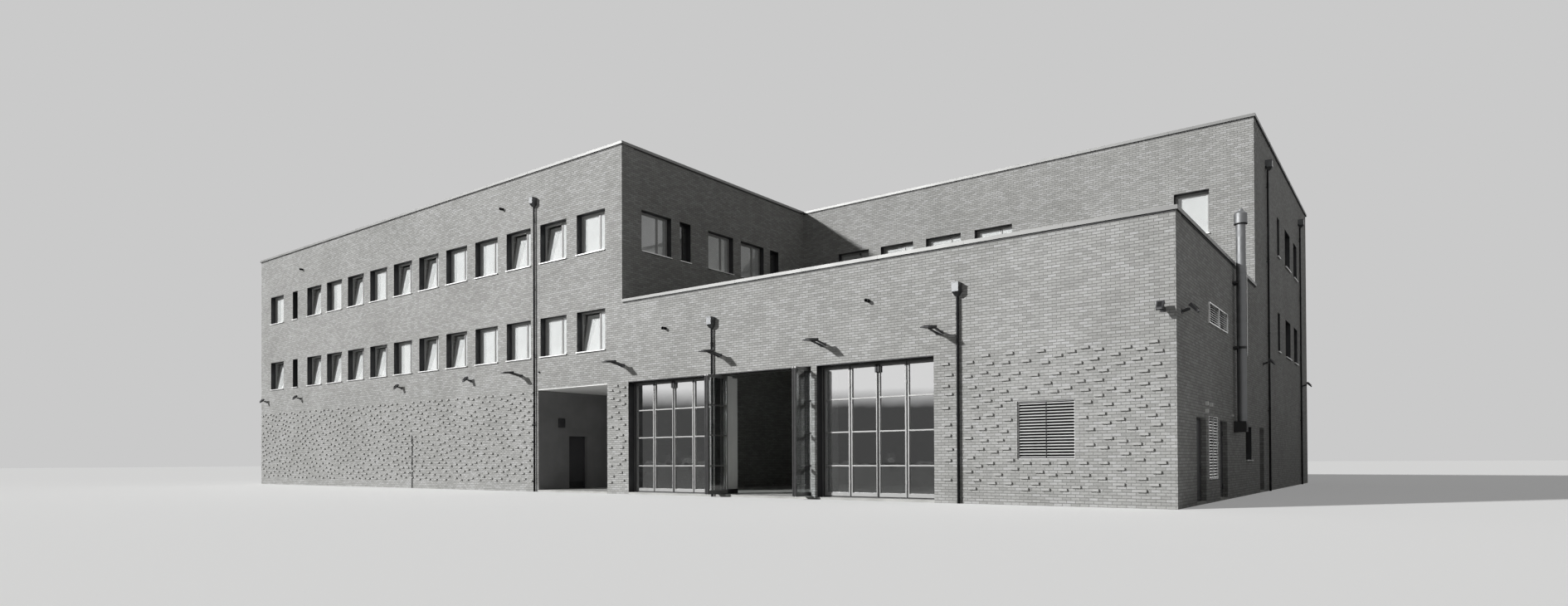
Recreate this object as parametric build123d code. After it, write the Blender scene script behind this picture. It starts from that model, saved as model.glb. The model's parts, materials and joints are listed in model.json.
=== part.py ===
from build123d import *
import math
import os
from dataclasses import dataclass

# A fire station as a scale model at 1:2. Every length here is the model's own, in millimetres, so the
# building measures twice as much. Two three-storey bars stand side by side, shifted along each other into
# a Z-shaped plan, and a one-storey vehicle hall fills the notch at the front right. The origin is the
# middle of the plan on the ground, X runs along the front, Y goes to the back, Z points up.

# Plan
wing_length = 17130.0
wing_depth = 8160.0
hall_length = 10575.0
hall_depth = 6130.0
wall = 250.0

# Levels
floor_level = 40.0
gate_head = 2250.0
door_head = 1240.0
floor_over_gate_head = 250.0
storey = 2060.0
top_storey = 1865.0
main_parapet = 655.0
hall_roof_over_gate_head = 930.0
hall_parapet = 688.0
floor_slab = 150.0
roof_slab = 150.0

# Parapet cappings
coping_height = 55.0
coping_overhang = 30.0
joint = 2.0
movement_joint = 6.0

# Windows. A row is a chain of gaps and widths along its wall.
window_width = 905.0
side_window_width = 850.0
end_window_width = 645.0
narrow_width = 335.0
window_height = 860.0
sill_over_floor = 450.0
window_pitch = 1250.0
corner_margin = 400.0
narrow_slot = 1
side_gaps = (525.0, 252.5, 557.5, 270.0, 247.5)
court_first_gap = 1102.5
court_windows = 4
court_last_gap = 785.5
end_gaps = (2917.5, 872.5, 622.5)
low_window_width = 605.0
low_window_height = 610.0
low_window_from_court = 530.0
low_window_under_door_head = 15.0
window_reveal = 130.0
frame_width = 32.0
frame_depth = 40.0
mullion_width = 30.0
mullion_depth = 26.0
side_light_share = 0.345
glass = 8.0
sill_height = 18.0
sill_overhang = 22.0

# Porch at the right end of the wing
corner_pier = 465.0
porch_width = 2290.0
porch_depth = 2500.0
porch_wall = 125.0
porch_ceiling_thickness = 15.0

# Folding gates of the hall
gate_width = 2215.0
gate_pier = 120.0
first_gate = 175.0
gates = 3
open_gate = 1
gate_reveal = 150.0
gate_frame = 25.0
gate_frame_depth = 60.0
leaves_per_gate = 4
leaf_thickness = 30.0
leaf_stile = 30.0
leaf_top_rail = 45.0
leaf_bottom_rail = 70.0
leaf_bar = 22.0
leaf_bar_heights = (565.0, 1125.0, 1675.0)
leaf_clearance = 12.0
rebate = 6.0
rebate_lap = 12.0
seal_width = 12.0
fold_offset = 45.0
fold_gap = 20.0
inner_pier_depth = 250.0

# Doors
door_reveal = 75.0
door_frame = 25.0
door_frame_depth = 45.0
door_thickness = 30.0
door_clearance = 5.0
front_door_from_corner = 1105.0
front_door_width = 625.0
middle_door_from_louvre = 220.0
middle_door_width = 585.0
back_door_from_court = 370.0
back_door_width = 500.0
porch_door_from_front = 825.0
porch_door_width = 500.0
hinge_radius = 5.0
hinge_length = 40.0
hinge_play = 0.3
hinge_stand_off = 7.0
hinge_flap = 4.0
hinge_inset = 160.0
hinge_leaf_width = 22.0
handle_height = 525.0
handle_from_edge = 23.0
handle_plate = (22.0, 4.0, 90.0)
handle_stem = 20.0
handle_radius = 5.0
handle_lever = 60.0

# Louvres
front_louvre_from_pipe = 915.0
front_louvre_width = 840.0
front_louvre_bottom = 655.0
front_louvre_height = 830.0
end_louvre_from_door = 160.0
end_louvre_width = 630.0
end_louvre_height = 940.0
end_louvre_over_door_head = 40.0
upper_louvre_from_door = 200.0
upper_louvre_width = 1390.0
upper_louvre_height = 310.0
upper_louvre_under_roof = 215.0
louvre_frame = 22.0
louvre_depth = 60.0
louvre_reveal = 20.0
blade_pitch = 40.0
blade_thickness = 4.0
blade_angle = 45.0

# Rainwater
pipe_radius = 25.0
pipe_stand_off = 25.0
clip_height = 24.0
clip_spacing = 2100.0
hopper = (110.0, 125.0, 140.0)
hopper_taper = 65.0
pipe_beside_porch = 90.0
pipe_on_gate_pier = 25.0
pipe_after_gates = 425.0
end_pipe_from_court = 1400.0
end_pipe_after_windows = 377.5
main_hopper_over_roof = 75.0
hall_hopper_over_roof = 125.0
end_hopper_over_roof = 215.0
spout_radius = 30.0
spout_length = 90.0
spout_over_roof = 40.0
front_spout_at = 2920.0
spout_before_pipe = 1205.0
hall_spouts_at = (1245.0, 5890.0)

# Flue on the end wall
flue_after_door = 635.0
flue_stand_off = 55.0
flue_radius = 80.0
flue_over_door_head = 30.0
flue_over_hall = 677.0
cowl_radius = 130.0
cowl_height = 230.0
cowl_cap_height = 50.0
flue_foot_width = 230.0
flue_foot_height = 200.0
flue_bracket_over_gate_head = 220.0
flue_bracket_under_hall_top = 318.0
flue_bracket_height = 30.0

# Wall lamps
lamp_over_gate_head = 340.0
small_lamps_at = (430.0, 2750.0, 8600.0, 11770.0)
lamp_before_pipe = 535.0
corner_lamp_at = 10.0
lamp_beside_pier = 130.0
lamp_after_gates = 100.0
lamp_before_corner = 165.0
end_lamp_at = 560.0
end_lamp_from_court = 870.0
end_lamp_after_pipe = 550.0
lamp_plate = (70.0, 14.0, 90.0)
lamp_arm = 20.0
lamp_arm_reach = 250.0
lamp_arm_rise = 45.0
lamp_head = (175.0, 240.0, 32.0)
small_lamp_arm_reach = 120.0
small_lamp_head = (90.0, 100.0, 32.0)
lamp_tilt = 8.0

# How the shapes are made
cut_past = 1.0
bar_sides = 8
flue_sides = 20

first_floor = gate_head + floor_over_gate_head
second_floor = first_floor + storey
main_roof_level = second_floor + top_storey
main_top = main_roof_level + main_parapet
hall_roof_level = gate_head + hall_roof_over_gate_head
hall_top = hall_roof_level + hall_parapet
lamp_level = gate_head + lamp_over_gate_head
total_length = wing_length + hall_length
total_depth = wing_depth + hall_depth
left = -total_length / 2
right = total_length / 2
front = -total_depth / 2
wing_right = left + wing_length
hall_back = front + hall_depth
porch_right = wing_length - corner_pier
porch_left = porch_right - porch_width
front_pipe_at = porch_left - pipe_beside_porch
FRONT = Location((left, front, 0))
HALL_FRONT = Location((wing_right, front, 0))
COURT_FRONT = Location((wing_right, hall_back, 0))
WING_SIDE = Location((wing_right, front, 0), (0, 0, 90))
END = Location((right, front, 0), (0, 0, 90))
PORCH_SIDE = Location((left + porch_left, front, 0), (0, 0, 90))


@dataclass(frozen=True)
class Opening:
    """A rectangular hole in a wall, in that wall's own frame."""

    start: float
    end: float
    bottom: float
    top: float

    @property
    def width(self):
        return self.end - self.start


def block(x, y, z):
    """A box between two limits on each axis."""
    size = (x[1] - x[0], y[1] - y[0], z[1] - z[0])
    return Pos((x[0] + x[1]) / 2, (y[0] + y[1]) / 2, (z[0] + z[1]) / 2) * Box(*size)


def bar(radius, length, sides=bar_sides):
    """A round bar along Z with a set number of sides, which stay few where it is small and repeated."""
    return extrude(RegularPolygon(radius, sides), length / 2, both=True)


def fuse(*shapes):
    """Joins shapes into one solid."""
    whole = shapes[0]
    for shape in shapes[1:]:
        whole += shape
    return whole


def turned(shape):
    """The same piece on the far side: the plan looks the same after half a turn."""
    return shape.rotate(Axis.Z, 180)


def both_sides(pieces):
    """Pieces and their turned copies."""
    return list(pieces) + [turned(piece) for piece in pieces]


def save(name, pieces):
    """Writes one sub-part, which may hold several solids that don't touch."""
    solids = [solid for piece in pieces for solid in piece.solids()]
    export_step(solids[0] if len(solids) == 1 else Compound(solids), f"parts/{name}.step")


# Walls. In a wall's frame X runs along it as seen from outside, Y goes into it and Z is up.


def wall_length(start, end, bottom, top, openings=()):
    """A straight length of wall with its holes cut right through."""
    body = block((start, end), (0, wall), (bottom, top))
    for hole in openings:
        through = (-cut_past, wall + cut_past)
        body -= block((hole.start, hole.end), through, (hole.bottom, hole.top))
    return body


def front_window_spans():
    """Windows at one pitch to both sides of the downpipe, as many as the wall has room for."""
    taken = (window_pitch + window_width) / 2 + corner_margin
    before = int((front_pipe_at - taken) // window_pitch) + 1
    after = int((wing_length - front_pipe_at - taken) // window_pitch) + 1
    for slot in range(before + after):
        centre = front_pipe_at + (slot - before + 1 / 2) * window_pitch
        width = narrow_width if slot == narrow_slot else window_width
        yield centre - width / 2, centre + width / 2


def chained(start, gaps, widths):
    """Spans one after another, each behind its gap."""
    for gap, width in zip(gaps, widths):
        start += gap
        yield start, start + width
        start += width


def court_window_spans():
    """The court's row: four at one pitch and one near the corner."""
    for slot in range(court_windows):
        start = court_first_gap + slot * window_pitch
        yield start, start + window_width
    end = hall_length - court_last_gap
    yield end - end_window_width, end


def storey_row(spans, floor):
    """Window openings of one storey."""
    sill = floor + sill_over_floor
    return [Opening(start, end, sill, sill + window_height) for start, end in spans]


side_widths = (side_window_width, narrow_width, side_window_width, side_window_width, narrow_width)
end_widths = (narrow_width, side_window_width, end_window_width)
front_spans = list(front_window_spans())
side_spans = list(chained(0, side_gaps, side_widths))
court_spans = list(court_window_spans())
end_spans = list(chained(hall_depth, end_gaps, end_widths))
upper_floors = (first_floor, second_floor)

front_windows = [hole for floor in upper_floors for hole in storey_row(front_spans, floor)]
side_windows = storey_row(side_spans, second_floor)
court_windows_seen = storey_row(court_spans, second_floor)
end_windows = [hole for floor in upper_floors for hole in storey_row(end_spans, floor)]
yard_side_windows = [hole for floor in upper_floors for hole in storey_row(side_spans, floor)]
yard_windows = [hole for floor in upper_floors for hole in storey_row(court_spans, floor)]
low_window_end = hall_depth - low_window_from_court
low_window_top = door_head - low_window_under_door_head
low_end_window = Opening(
    low_window_end - low_window_width,
    low_window_end,
    low_window_top - low_window_height,
    low_window_top,
)

# Places along the hall's front and along the end wall, one chained to the next
gates_end = first_gate + gates * gate_width + (gates - 1) * gate_pier
hall_pipe_at = gates_end + pipe_after_gates
front_louvre_start = hall_pipe_at + front_louvre_from_pipe
front_door_end = front_door_from_corner + front_door_width
end_louvre_start = front_door_end + end_louvre_from_door
middle_door_start = end_louvre_start + end_louvre_width + middle_door_from_louvre
middle_door_end = middle_door_start + middle_door_width
back_door_start = hall_depth + back_door_from_court
upper_louvre_start = front_door_end + upper_louvre_from_door
flue_at = middle_door_end + flue_after_door
last_end_pipe_at = end_spans[-1][1] + end_pipe_after_windows
front_door_span = (front_door_from_corner, front_door_end)
middle_door_span = (middle_door_start, middle_door_end)
back_door_span = (back_door_start, back_door_start + back_door_width)
porch_door_span = (porch_door_from_front, porch_door_from_front + porch_door_width)
front_louvre_top = front_louvre_bottom + front_louvre_height
front_louvre_hole = Opening(
    front_louvre_start,
    front_louvre_start + front_louvre_width,
    front_louvre_bottom,
    front_louvre_top,
)
end_louvre_top = door_head + end_louvre_over_door_head
end_louvre_hole = Opening(
    end_louvre_start,
    end_louvre_start + end_louvre_width,
    end_louvre_top - end_louvre_height,
    end_louvre_top,
)
upper_louvre_top = hall_roof_level - upper_louvre_under_roof
upper_louvre_hole = Opening(
    upper_louvre_start,
    upper_louvre_start + upper_louvre_width,
    upper_louvre_top - upper_louvre_height,
    upper_louvre_top,
)

# Each wall's windows, and those of its turned copy at the rear, whose frames are undivided
window_walls = [
    (FRONT, front_windows, front_windows),
    (WING_SIDE, side_windows, yard_side_windows),
    (COURT_FRONT, court_windows_seen, yard_windows),
    (END, end_windows, end_windows),
]


def build_walls():
    end_of_court = hall_length
    inner_hall = hall_depth + wall
    back_end = total_depth - wall

    save("front_wall_ground", [FRONT * wall_length(0, porch_left, 0, gate_head)])
    upper_front = wall_length(0, wing_length, gate_head, main_top, front_windows)
    save("front_wall_upper", [FRONT * upper_front])
    save("rear_wall", [turned(FRONT * wall_length(0, wing_length, 0, main_top, front_windows))])

    wing_side = wall_length(wall, inner_hall, 0, main_top, side_windows)
    save("wing_side_wall", [WING_SIDE * wing_side])
    yard_side = wall_length(wall, inner_hall, 0, main_top, yard_side_windows)
    save("yard_side_wall", [turned(WING_SIDE * yard_side)])

    court = wall_length(0, end_of_court, 0, main_top, court_windows_seen)
    save("court_wall", [COURT_FRONT * court])
    yard = wall_length(0, end_of_court, 0, main_top, yard_windows)
    save("yard_wall", [turned(COURT_FRONT * yard)])

    beside_back_door = [
        wall_length(inner_hall, back_door_span[0], 0, door_head),
        wall_length(back_door_span[1], back_end, 0, door_head),
    ]
    save("right_end_wall_ground", [END * piece for piece in beside_back_door])
    upper_end = wall_length(inner_hall, back_end, door_head, main_top, end_windows)
    save("right_end_wall_upper", [END * upper_end])
    left_end = wall_length(inner_hall, back_end, 0, main_top, end_windows)
    save("left_end_wall", [turned(END * left_end)])


def gate_start(gate):
    """Where a gate's opening starts along the hall's front."""
    return first_gate + gate * (gate_width + gate_pier)


def build_hall_walls():
    porch_pier = wall_length(-corner_pier, first_gate, 0, gate_head)
    piers = [porch_pier]
    for gate in range(1, gates):
        start = gate_start(gate)
        piers.append(wall_length(start - gate_pier, start, 0, gate_head))
    plain = wall_length(gates_end, hall_length, 0, gate_head, [front_louvre_hole])
    save("hall_front_piers", [HALL_FRONT * pier for pier in piers])
    save("hall_front_wall", [HALL_FRONT * plain])
    save("hall_front_wall_upper", [HALL_FRONT * wall_length(0, hall_length, gate_head, hall_top)])

    ground = [
        wall_length(wall, front_door_span[0], 0, door_head),
        wall_length(front_door_span[1], middle_door_span[0], 0, door_head, [end_louvre_hole]),
        wall_length(middle_door_span[1], hall_depth, 0, door_head, [low_end_window]),
    ]
    save("hall_end_wall_ground", [END * piece for piece in ground])
    holes = [upper_louvre_hole, end_louvre_hole]
    upper = wall_length(wall, hall_depth, door_head, hall_top, holes)
    save("hall_end_wall_upper", [END * upper])

    inner_piers = []
    for gate in range(1, gates):
        start = gate_start(gate)
        across = (start - gate_pier, start)
        inner_piers.append(block(across, (wall, wall + inner_pier_depth), (floor_level, gate_head)))
    save("gate_inner_piers", [HALL_FRONT * pier for pier in inner_piers])


def build_porch():
    ceiling = gate_head - porch_ceiling_thickness
    under_floor = first_floor - floor_slab
    side_beside = [
        block((wall, porch_door_span[0]), (0, porch_wall), (floor_level, door_head)),
        block((porch_door_span[1], porch_depth), (0, porch_wall), (floor_level, door_head)),
    ]
    save("porch_side_wall", [PORCH_SIDE * piece for piece in side_beside])
    over_door = block((wall, porch_depth), (0, porch_wall), (door_head, under_floor))
    save("porch_side_wall_upper", [PORCH_SIDE * over_door])
    across = (porch_left - porch_wall, wing_length - wall)
    back = block(across, (porch_depth, porch_depth + porch_wall), (floor_level, under_floor))
    save("porch_back_wall", [FRONT * back])
    hall_side = block((porch_right, wing_length - wall), (wall, porch_depth), (floor_level, under_floor))
    save("porch_hall_wall", [FRONT * hall_side])
    panel = block((porch_left, porch_right), (0, porch_depth), (ceiling, gate_head))
    save("porch_ceiling", [FRONT * panel])


def plan_strips(bottom, top):
    """The Z-shaped inside of the two bars as three slabs with movement joints between them."""
    inner_left = left + wall
    inner_right = right - wall
    first = hall_back + wall
    second = -first
    gap = movement_joint / 2
    return [
        block((inner_left, wing_right - wall), (front + wall, first - gap), (bottom, top)),
        block((inner_left, inner_right), (first + gap, second - gap), (bottom, top)),
        block((-wing_right + wall, inner_right), (second + gap, -front - wall), (bottom, top)),
    ]


def hall_inside(bottom, top):
    """The inside of the hall between its four walls."""
    return block((wing_right, right - wall), (front + wall, hall_back), (bottom, top))


def build_slabs():
    front_strip, middle_strip, back_strip = plan_strips(0, floor_level)
    porch_floor = block((porch_left, porch_right), (0, wall), (0, floor_level))
    front_strip = fuse(front_strip, FRONT * porch_floor)
    back_doorway = block(back_door_span, (0, wall), (0, floor_level))
    middle_strip = fuse(middle_strip, END * back_doorway)
    hall = hall_inside(0, floor_level)
    for gate in range(gates):
        start = gate_start(gate)
        hall += HALL_FRONT * block((start, start + gate_width), (0, wall), (0, floor_level))
    for span in (front_door_span, middle_door_span):
        hall += END * block(span, (0, wall), (0, floor_level))
    save("ground_slab", [front_strip, middle_strip, back_strip, hall])
    save("first_floor_slab", plan_strips(first_floor - floor_slab, first_floor))
    save("second_floor_slab", plan_strips(second_floor - floor_slab, second_floor))
    save("main_roof_slab", plan_strips(main_roof_level - roof_slab, main_roof_level))
    save("hall_roof_slab", [hall_inside(hall_roof_level - roof_slab, hall_roof_level)])


def coping_run(start, end, base):
    """One length of parapet capping along a wall."""
    across = (-coping_overhang, wall + coping_overhang)
    return block((start, end), across, (base, base + coping_height))


def build_copings():
    reach = wall + coping_overhang
    runs = [
        FRONT * coping_run(-coping_overhang, wing_length + coping_overhang, main_top),
        WING_SIDE * coping_run(reach + joint, hall_depth - coping_overhang - joint, main_top),
        COURT_FRONT * coping_run(-reach, hall_length + coping_overhang, main_top),
        END * coping_run(hall_depth + reach + joint, total_depth - reach - joint, main_top),
    ]
    save("main_coping", both_sides(runs))
    hall_runs = [
        HALL_FRONT * coping_run(joint, hall_length + coping_overhang, hall_top),
        END * coping_run(reach + joint, hall_depth - joint, hall_top),
    ]
    save("hall_coping", hall_runs)


# Windows


def window_frame(hole, divided=True):
    """A frame around the opening. In a wide one a mullion parts off a narrow side light."""
    y = (window_reveal, window_reveal + frame_depth)
    ring = block((hole.start, hole.end), y, (hole.bottom, hole.top))
    inner_x = (hole.start + frame_width, hole.end - frame_width)
    inner_z = (hole.bottom + frame_width, hole.top - frame_width)
    ring -= block(inner_x, (y[0] - cut_past, y[1] + cut_past), inner_z)
    if divided and hole.width > narrow_width:
        at = hole.end - side_light_share * hole.width
        across = (at - mullion_width / 2, at + mullion_width / 2)
        ring += block(across, (window_reveal, window_reveal + mullion_depth), inner_z)
    return ring


def window_pane(hole):
    """A sheet of glass inside the frame, behind the mullion."""
    y = window_reveal + mullion_depth
    inner_x = (hole.start + frame_width, hole.end - frame_width)
    inner_z = (hole.bottom + frame_width, hole.top - frame_width)
    return block(inner_x, (y, y + glass), inner_z)


def window_sill(hole):
    """A sheet metal sill that lies on the masonry in the reveal and stands out in front of the wall."""
    y = (-sill_overhang, window_reveal)
    return block((hole.start, hole.end), y, (hole.bottom, hole.bottom + sill_height))


def build_windows():
    frames, sills = [], []
    panes = {}
    for place, seen, repeated in window_walls:
        frames += [place * window_frame(hole) for hole in seen]
        frames += [turned(place * window_frame(hole, divided=False)) for hole in repeated]
        sills += [place * window_sill(hole) for hole in seen]
        sills += [turned(place * window_sill(hole)) for hole in repeated]
        seen_panes = [place * window_pane(hole) for hole in seen]
        repeated_panes = [turned(place * window_pane(hole)) for hole in repeated]
        panes[place] = (seen_panes, repeated_panes)
    frames.append(END * window_frame(low_end_window))
    sills.append(END * window_sill(low_end_window))
    save("window_frames", frames)
    save("window_sills", sills)
    save("front_window_glass", panes[FRONT][0])
    save("rear_window_glass", panes[FRONT][1])
    save("court_window_glass", panes[WING_SIDE][0] + panes[COURT_FRONT][0])
    save("yard_window_glass", panes[WING_SIDE][1] + panes[COURT_FRONT][1])
    save("end_window_glass", [END * window_pane(low_end_window)] + panes[END][0] + panes[END][1])


# Folding gates

frame_inner_width = gate_width - 2 * gate_frame
leaf_width = (frame_inner_width - (leaves_per_gate + 1) * seal_width) / leaves_per_gate
leaf_bottom = floor_level + leaf_clearance
leaf_top = gate_head - gate_frame
leaf_y = gate_reveal + (gate_frame_depth - leaf_thickness) / 2


def gate_surround():
    """Jambs and head of one gate, from the left edge of its opening."""
    y = (gate_reveal, gate_reveal + gate_frame_depth)
    whole = block((0, gate_width), y, (floor_level, gate_head))
    inside = (gate_frame, gate_width - gate_frame)
    through = (y[0] - cut_past, y[1] + cut_past)
    return whole - block(inside, through, (floor_level - cut_past, leaf_top))


def leaf_lights():
    """Bottom and top of each glazed panel of a leaf."""
    edges = [leaf_bottom + leaf_bottom_rail]
    for height in leaf_bar_heights:
        edges += [height - leaf_bar / 2, height + leaf_bar / 2]
    edges.append(leaf_top - leaf_top_rail)
    return list(zip(edges[0::2], edges[1::2]))


def gate_leaf():
    """One glazed leaf from its left edge, its outer face at Y 0, with a rebate for the glass behind."""
    leaf = block((0, leaf_width), (0, leaf_thickness), (leaf_bottom, leaf_top))
    inner_x = (leaf_stile, leaf_width - leaf_stile)
    lights = leaf_lights()
    through = (-cut_past, leaf_thickness + cut_past)
    for light in lights:
        leaf -= block(inner_x, through, light)
    pocket_x = (leaf_stile - rebate_lap, leaf_width - leaf_stile + rebate_lap)
    pocket_z = (lights[0][0] - rebate_lap, lights[-1][1] + rebate_lap)
    pocket_y = (leaf_thickness - rebate, leaf_thickness + cut_past)
    return leaf - block(pocket_x, pocket_y, pocket_z)


def leaf_glass():
    """The sheet of glass that lies in a leaf's rebate."""
    lights = leaf_lights()
    across = (leaf_stile - rebate_lap, leaf_width - leaf_stile + rebate_lap)
    up = (lights[0][0] - rebate_lap, lights[-1][1] + rebate_lap)
    return block(across, (leaf_thickness - rebate, leaf_thickness), up)


def closed_places(gate):
    """Where the leaves of a closed gate stand."""
    start = gate_start(gate) + gate_frame + seal_width
    for leaf in range(leaves_per_gate):
        yield HALL_FRONT * Pos(start + leaf * (leaf_width + seal_width), leaf_y, 0)


def open_places(gate):
    """The leaves of an open gate, folded in pairs that stand square to the wall at each jamb."""
    step = leaf_thickness + fold_gap
    outer = leaf_y + leaf_thickness - leaf_width
    for pair_leaf in range(leaves_per_gate // 2):
        x = gate_start(gate) + gate_frame + fold_offset + pair_leaf * step
        yield HALL_FRONT * Pos(x + leaf_thickness, outer, 0) * Rot(0, 0, 90)
        x = gate_start(gate) + gate_width - gate_frame - fold_offset - pair_leaf * step
        yield HALL_FRONT * Pos(x - leaf_thickness, outer + leaf_width, 0) * Rot(0, 0, -90)


def closed_seals(gate):
    """Rubber strips between the leaves of a closed gate and beside its jambs."""
    start = gate_start(gate) + gate_frame
    y = (leaf_y, leaf_y + leaf_thickness)
    for strip in range(leaves_per_gate + 1):
        x = start + strip * (leaf_width + seal_width)
        yield HALL_FRONT * block((x, x + seal_width), y, (leaf_bottom, leaf_top))


def open_seals(gate):
    """Rubber strips that join the folded leaves to the jambs and to each other."""
    inner = (leaf_y + leaf_thickness - seal_width, leaf_y + leaf_thickness)
    outer_start = leaf_y + leaf_thickness - leaf_width
    outer = (outer_start, outer_start + seal_width)
    up = (leaf_bottom, leaf_top)
    left_jamb = gate_start(gate) + gate_frame
    right_jamb = gate_start(gate) + gate_width - gate_frame
    first_face = fold_offset + leaf_thickness
    for jamb, way in ((left_jamb, 1), (right_jamb, -1)):
        spans = (((0, fold_offset), inner), ((first_face, first_face + fold_gap), outer))
        for (near, far), y in spans:
            x = sorted((jamb + way * near, jamb + way * far))
            yield HALL_FRONT * block(x, y, up)


def build_gates():
    closed = [gate for gate in range(gates) if gate != open_gate]
    closed_leaf_places = [place for gate in closed for place in closed_places(gate)]
    open_leaf_places = list(open_places(open_gate))
    surrounds = [HALL_FRONT * Pos(gate_start(gate), 0, 0) * gate_surround() for gate in range(gates)]
    save("gate_surrounds", surrounds)
    save("closed_gate_leaves", [place * gate_leaf() for place in closed_leaf_places])
    save("open_gate_leaves", [place * gate_leaf() for place in open_leaf_places])
    save("gate_glass", [place * leaf_glass() for place in closed_leaf_places + open_leaf_places])
    seals = [strip for gate in closed for strip in closed_seals(gate)]
    save("gate_seals", seals + list(open_seals(open_gate)))


# Doors. A leaf turns outwards on lift-off hinges whose pins stand in front of its face.


@dataclass(frozen=True)
class Doorway:
    """A doorway in a wall and the side its leaf is hung on."""

    name: str
    place: Location
    span: tuple
    hung_left: bool


doorways = [
    Doorway("front_door", END, front_door_span, True),
    Doorway("middle_door", END, middle_door_span, False),
    Doorway("back_door", END, back_door_span, True),
    Doorway("porch_door", PORCH_SIDE, porch_door_span, True),
]
door_leaf_bottom = floor_level + door_clearance
door_leaf_top = door_head - door_frame - door_clearance
hinge_y = door_reveal - hinge_stand_off


def hinge_levels():
    """The two heights where a leaf half sits on a frame half."""
    return (door_leaf_bottom + hinge_inset, door_leaf_top - hinge_inset)


def hinge_half(level, way, upper):
    """A barrel on the pin's line with a flap that reaches the face beside it."""
    low = level + hinge_play / 2 if upper else level - hinge_play / 2 - hinge_length
    centre = low + hinge_length / 2
    barrel = Pos(0, 0, centre) * bar(hinge_radius, hinge_length)
    flap_x = sorted((0, way * hinge_leaf_width))
    flap_y = (hinge_stand_off - hinge_flap, hinge_stand_off)
    flap = block(flap_x, flap_y, (low, low + hinge_length))
    return fuse(barrel, flap)


def lever_handle(leaf_edge, way):
    """A back plate, a stem and a lever that points to the hinges."""
    x = leaf_edge - way * handle_from_edge
    plate_x = (x - handle_plate[0] / 2, x + handle_plate[0] / 2)
    plate_z = (handle_height - handle_plate[2] / 2, handle_height + handle_plate[2] / 2)
    plate = block(plate_x, (door_reveal - handle_plate[1], door_reveal), plate_z)
    stem = Pos(x, door_reveal - handle_stem / 2, handle_height) * Rot(90, 0, 0)
    stem = stem * bar(handle_radius, handle_stem)
    lever_middle = x - way * handle_lever / 2
    lever = Pos(lever_middle, door_reveal - handle_stem, handle_height) * Rot(0, 90, 0)
    lever = lever * bar(handle_radius, handle_lever + 2 * handle_radius)
    return fuse(plate, stem, lever)


def door_pin_x(door):
    """The line of the pins, in the gap between leaf and frame."""
    inset = door_frame + door_clearance / 2
    return door.span[0] + inset if door.hung_left else door.span[1] - inset


def door_leaf(door):
    """A flat steel leaf with its hinge halves and handle."""
    x = (door.span[0] + door_frame + door_clearance, door.span[1] - door_frame - door_clearance)
    y = (door_reveal, door_reveal + door_thickness)
    way = 1 if door.hung_left else -1
    leaf = block(x, y, (door_leaf_bottom, door_leaf_top))
    for level in hinge_levels():
        leaf += Pos(door_pin_x(door), hinge_y, 0) * hinge_half(level, way, upper=True)
    latch_edge = x[1] if door.hung_left else x[0]
    return fuse(leaf, lever_handle(latch_edge, way))


def door_surround(door):
    """Jambs and head of a steel door frame with the lower hinge halves."""
    y = (door_reveal, door_reveal + door_frame_depth)
    frame = block(door.span, y, (floor_level, door_head))
    inside = (door.span[0] + door_frame, door.span[1] - door_frame)
    through = (y[0] - cut_past, y[1] + cut_past)
    frame -= block(inside, through, (floor_level - cut_past, door_head - door_frame))
    way = -1 if door.hung_left else 1
    for level in hinge_levels():
        frame += Pos(door_pin_x(door), hinge_y, 0) * hinge_half(level, way, upper=False)
    return frame


def build_doors():
    for door in doorways:
        save(door.name, [door.place * door_leaf(door)])
    save("door_frames", [door.place * door_surround(door) for door in doorways])


# Louvres


def louvre(hole, bays=1):
    """A framed grille with slanting blades, in one bay or several, which fills its hole in the wall."""
    y = (louvre_reveal, louvre_reveal + louvre_depth)
    bay_step = (hole.width - louvre_frame) / bays
    starts = [hole.start + louvre_frame + bay * bay_step for bay in range(bays)]
    inner_z = (hole.bottom + louvre_frame, hole.top - louvre_frame)
    count = int((inner_z[1] - inner_z[0]) // blade_pitch)
    pitch = (inner_z[1] - inner_z[0]) / count
    blade_depth = louvre_depth - 2 * blade_thickness
    blade_length = bay_step - louvre_frame
    grille = block((hole.start, hole.end), y, (hole.bottom, hole.top))
    blades = []
    for start in starts:
        grille -= block((start, start + blade_length), (y[0] - cut_past, y[1] + cut_past), inner_z)
        for blade in range(count):
            z = inner_z[0] + (blade + 1 / 2) * pitch
            place = Pos(start + blade_length / 2, (y[0] + y[1]) / 2, z) * Rot(blade_angle, 0, 0)
            blades.append(place * Box(blade_length, blade_depth, blade_thickness))
    return grille + blades


def build_louvres():
    save("front_louvre", [HALL_FRONT * louvre(front_louvre_hole)])
    save("end_louvres", [END * louvre(end_louvre_hole), END * louvre(upper_louvre_hole, bays=2)])


# Rainwater, flue and lamps


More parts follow.
